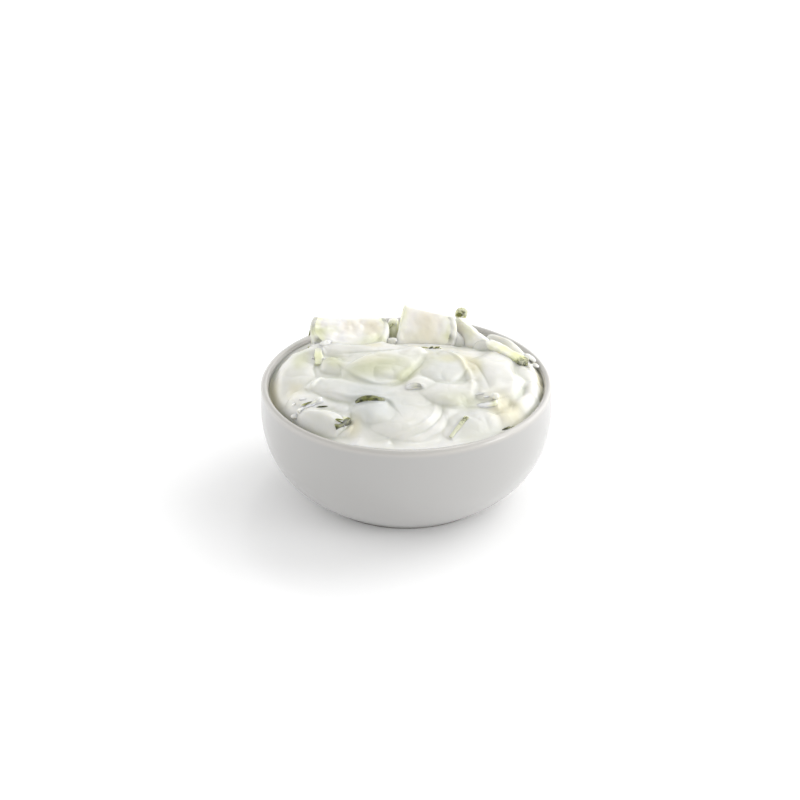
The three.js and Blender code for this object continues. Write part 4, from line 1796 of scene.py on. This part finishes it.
@dataclass
class Studio:
    """White floor, soft lights from behind and the camera.

    `sky` is the level of the light from all round and `sky_behind` what is
    added to it at the back. The glows are low walls of light behind the dish
    and at its right, `left` is an even light at its left and `left_low` what
    is added to that near the floor. Each comes in over its own range of one
    part of a direction, from -1 to 1, and what is low fades over `fade_range`.
    """

    distance: float = 696.0
    elevation: float = 27.81
    focal_px: float = 1725.6
    frame_px: float = 800.0
    target_px: Spot = (406.3, 379.4)
    target_height: float = 47.0
    sensor: float = 36.0
    floor_half: float = 6000.0
    sky: float = 0.63
    sky_behind: float = -0.08
    sky_seen: float = 1.1
    glow_behind: float = 0.87
    glow_right: float = 1.3
    left: float = 0.5
    left_low: float = 0.6
    behind_range: Spot = (-0.2, 0.7)
    right_range: Spot = (0.0, 0.9)
    left_range: Spot = (0.45, 0.95)
    fade_range: Spot = (0.2, 0.75)
    suns: tuple[Sun, ...] = SUNS
    floor: FloorFinish = field(default_factory=FloorFinish)

    def build(self) -> None:
        """Makes floor, world, lights and camera."""
        self.make_floor()
        self.make_world()
        for sun in self.suns:
            sun.build()
        self.make_camera()
        bpy.context.scene.view_settings.view_transform = "Standard"
        LOG.info("studio: floor, world, %d lights and the camera", len(self.suns))

    def make_floor(self) -> None:
        """Lays a wide sheet of paper under the bowl."""
        mesh = bpy.data.meshes.new("floor")
        half = self.floor_half * MM
        corners = [(x * half, y * half, 0) for x, y in ((-1, -1), (1, -1), (1, 1), (-1, 1))]
        mesh.from_pydata(corners, [], [(0, 1, 2, 3)])
        mesh.materials.append(self.floor.material())
        floor = bpy.data.objects.new("floor", mesh)
        bpy.context.scene.collection.objects.link(floor)

    def make_world(self) -> None:
        """Lights the dish from above and behind, with little from the front."""
        world = bpy.data.worlds.new("studio")
        world.use_nodes = True
        nodes = Nodes(world.node_tree)
        x, y, z = nodes.split(nodes.add("ShaderNodeTexCoord").outputs["Generated"])
        behind = nodes.ramp(y, *self.behind_range)
        right = nodes.ramp(x, *self.right_range)
        left = nodes.ramp(nodes.times(x, -1.0), *self.left_range)
        low = nodes.minus(1.0, nodes.ramp(z, *self.fade_range))
        parts = (
            nodes.times(nodes.times(behind, low), self.glow_behind),
            nodes.times(nodes.times(right, low), self.glow_right),
            nodes.times(left, nodes.math("MULTIPLY_ADD", low, self.left_low, self.left)),
        )
        level = nodes.math("MULTIPLY_ADD", behind, self.sky_behind, self.sky)
        for part in parts:
            level = nodes.plus(level, part)
        seen = nodes.add("ShaderNodeLightPath").outputs["Is Camera Ray"]
        level = nodes.math("MAXIMUM", level, nodes.times(seen, self.sky_seen))
        nodes.feed(world.node_tree.nodes["Background"], {"Color": (1, 1, 1, 1), "Strength": level})
        bpy.context.scene.world = world

    def make_camera(self) -> None:
        """Sets the camera, looking down on the rim from the front."""
        data = bpy.data.cameras.new("camera")
        data.sensor_width = self.sensor
        data.lens = self.focal_px / self.frame_px * self.sensor
        middle = self.frame_px / 2
        data.shift_x = (middle - self.target_px[0]) / self.frame_px
        data.shift_y = (self.target_px[1] - middle) / self.frame_px
        camera = bpy.data.objects.new("camera", data)
        tilt = math.radians(self.elevation)
        up = self.target_height + self.distance * math.sin(tilt)
        camera.location = (0, -self.distance * math.cos(tilt) * MM, up * MM)
        camera.rotation_euler = (math.pi / 2 - tilt, 0, 0)
        bpy.context.scene.collection.objects.link(camera)
        bpy.context.scene.camera = camera


# ------------------------------------------------------------------------ main


def main() -> None:
    """Builds every part of the dish and its studio."""
    logging.basicConfig(level=logging.INFO, format="%(name)s %(message)s")
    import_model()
    wet_yogurt = YogurtFinish().material()
    wet_cucumber = CucumberFinish().material()
    bowl = Bowl()
    bowl.build()
    yogurt = Yogurt(bowl, wet_yogurt)
    yogurt.build()
    Cucumber(yogurt, wet_cucumber).build()
    Bits("cucumber_shreds", "cucumber", SHREDS, yogurt, wet_cucumber).build()
    drops = Bits("yogurt_drops", "yogurt", DROPS, yogurt, wet_yogurt, rough=1.2, grain=330.0, seed=8.0)
    drops.build()
    Studio().build()


if __name__ == "__main__":
    main()
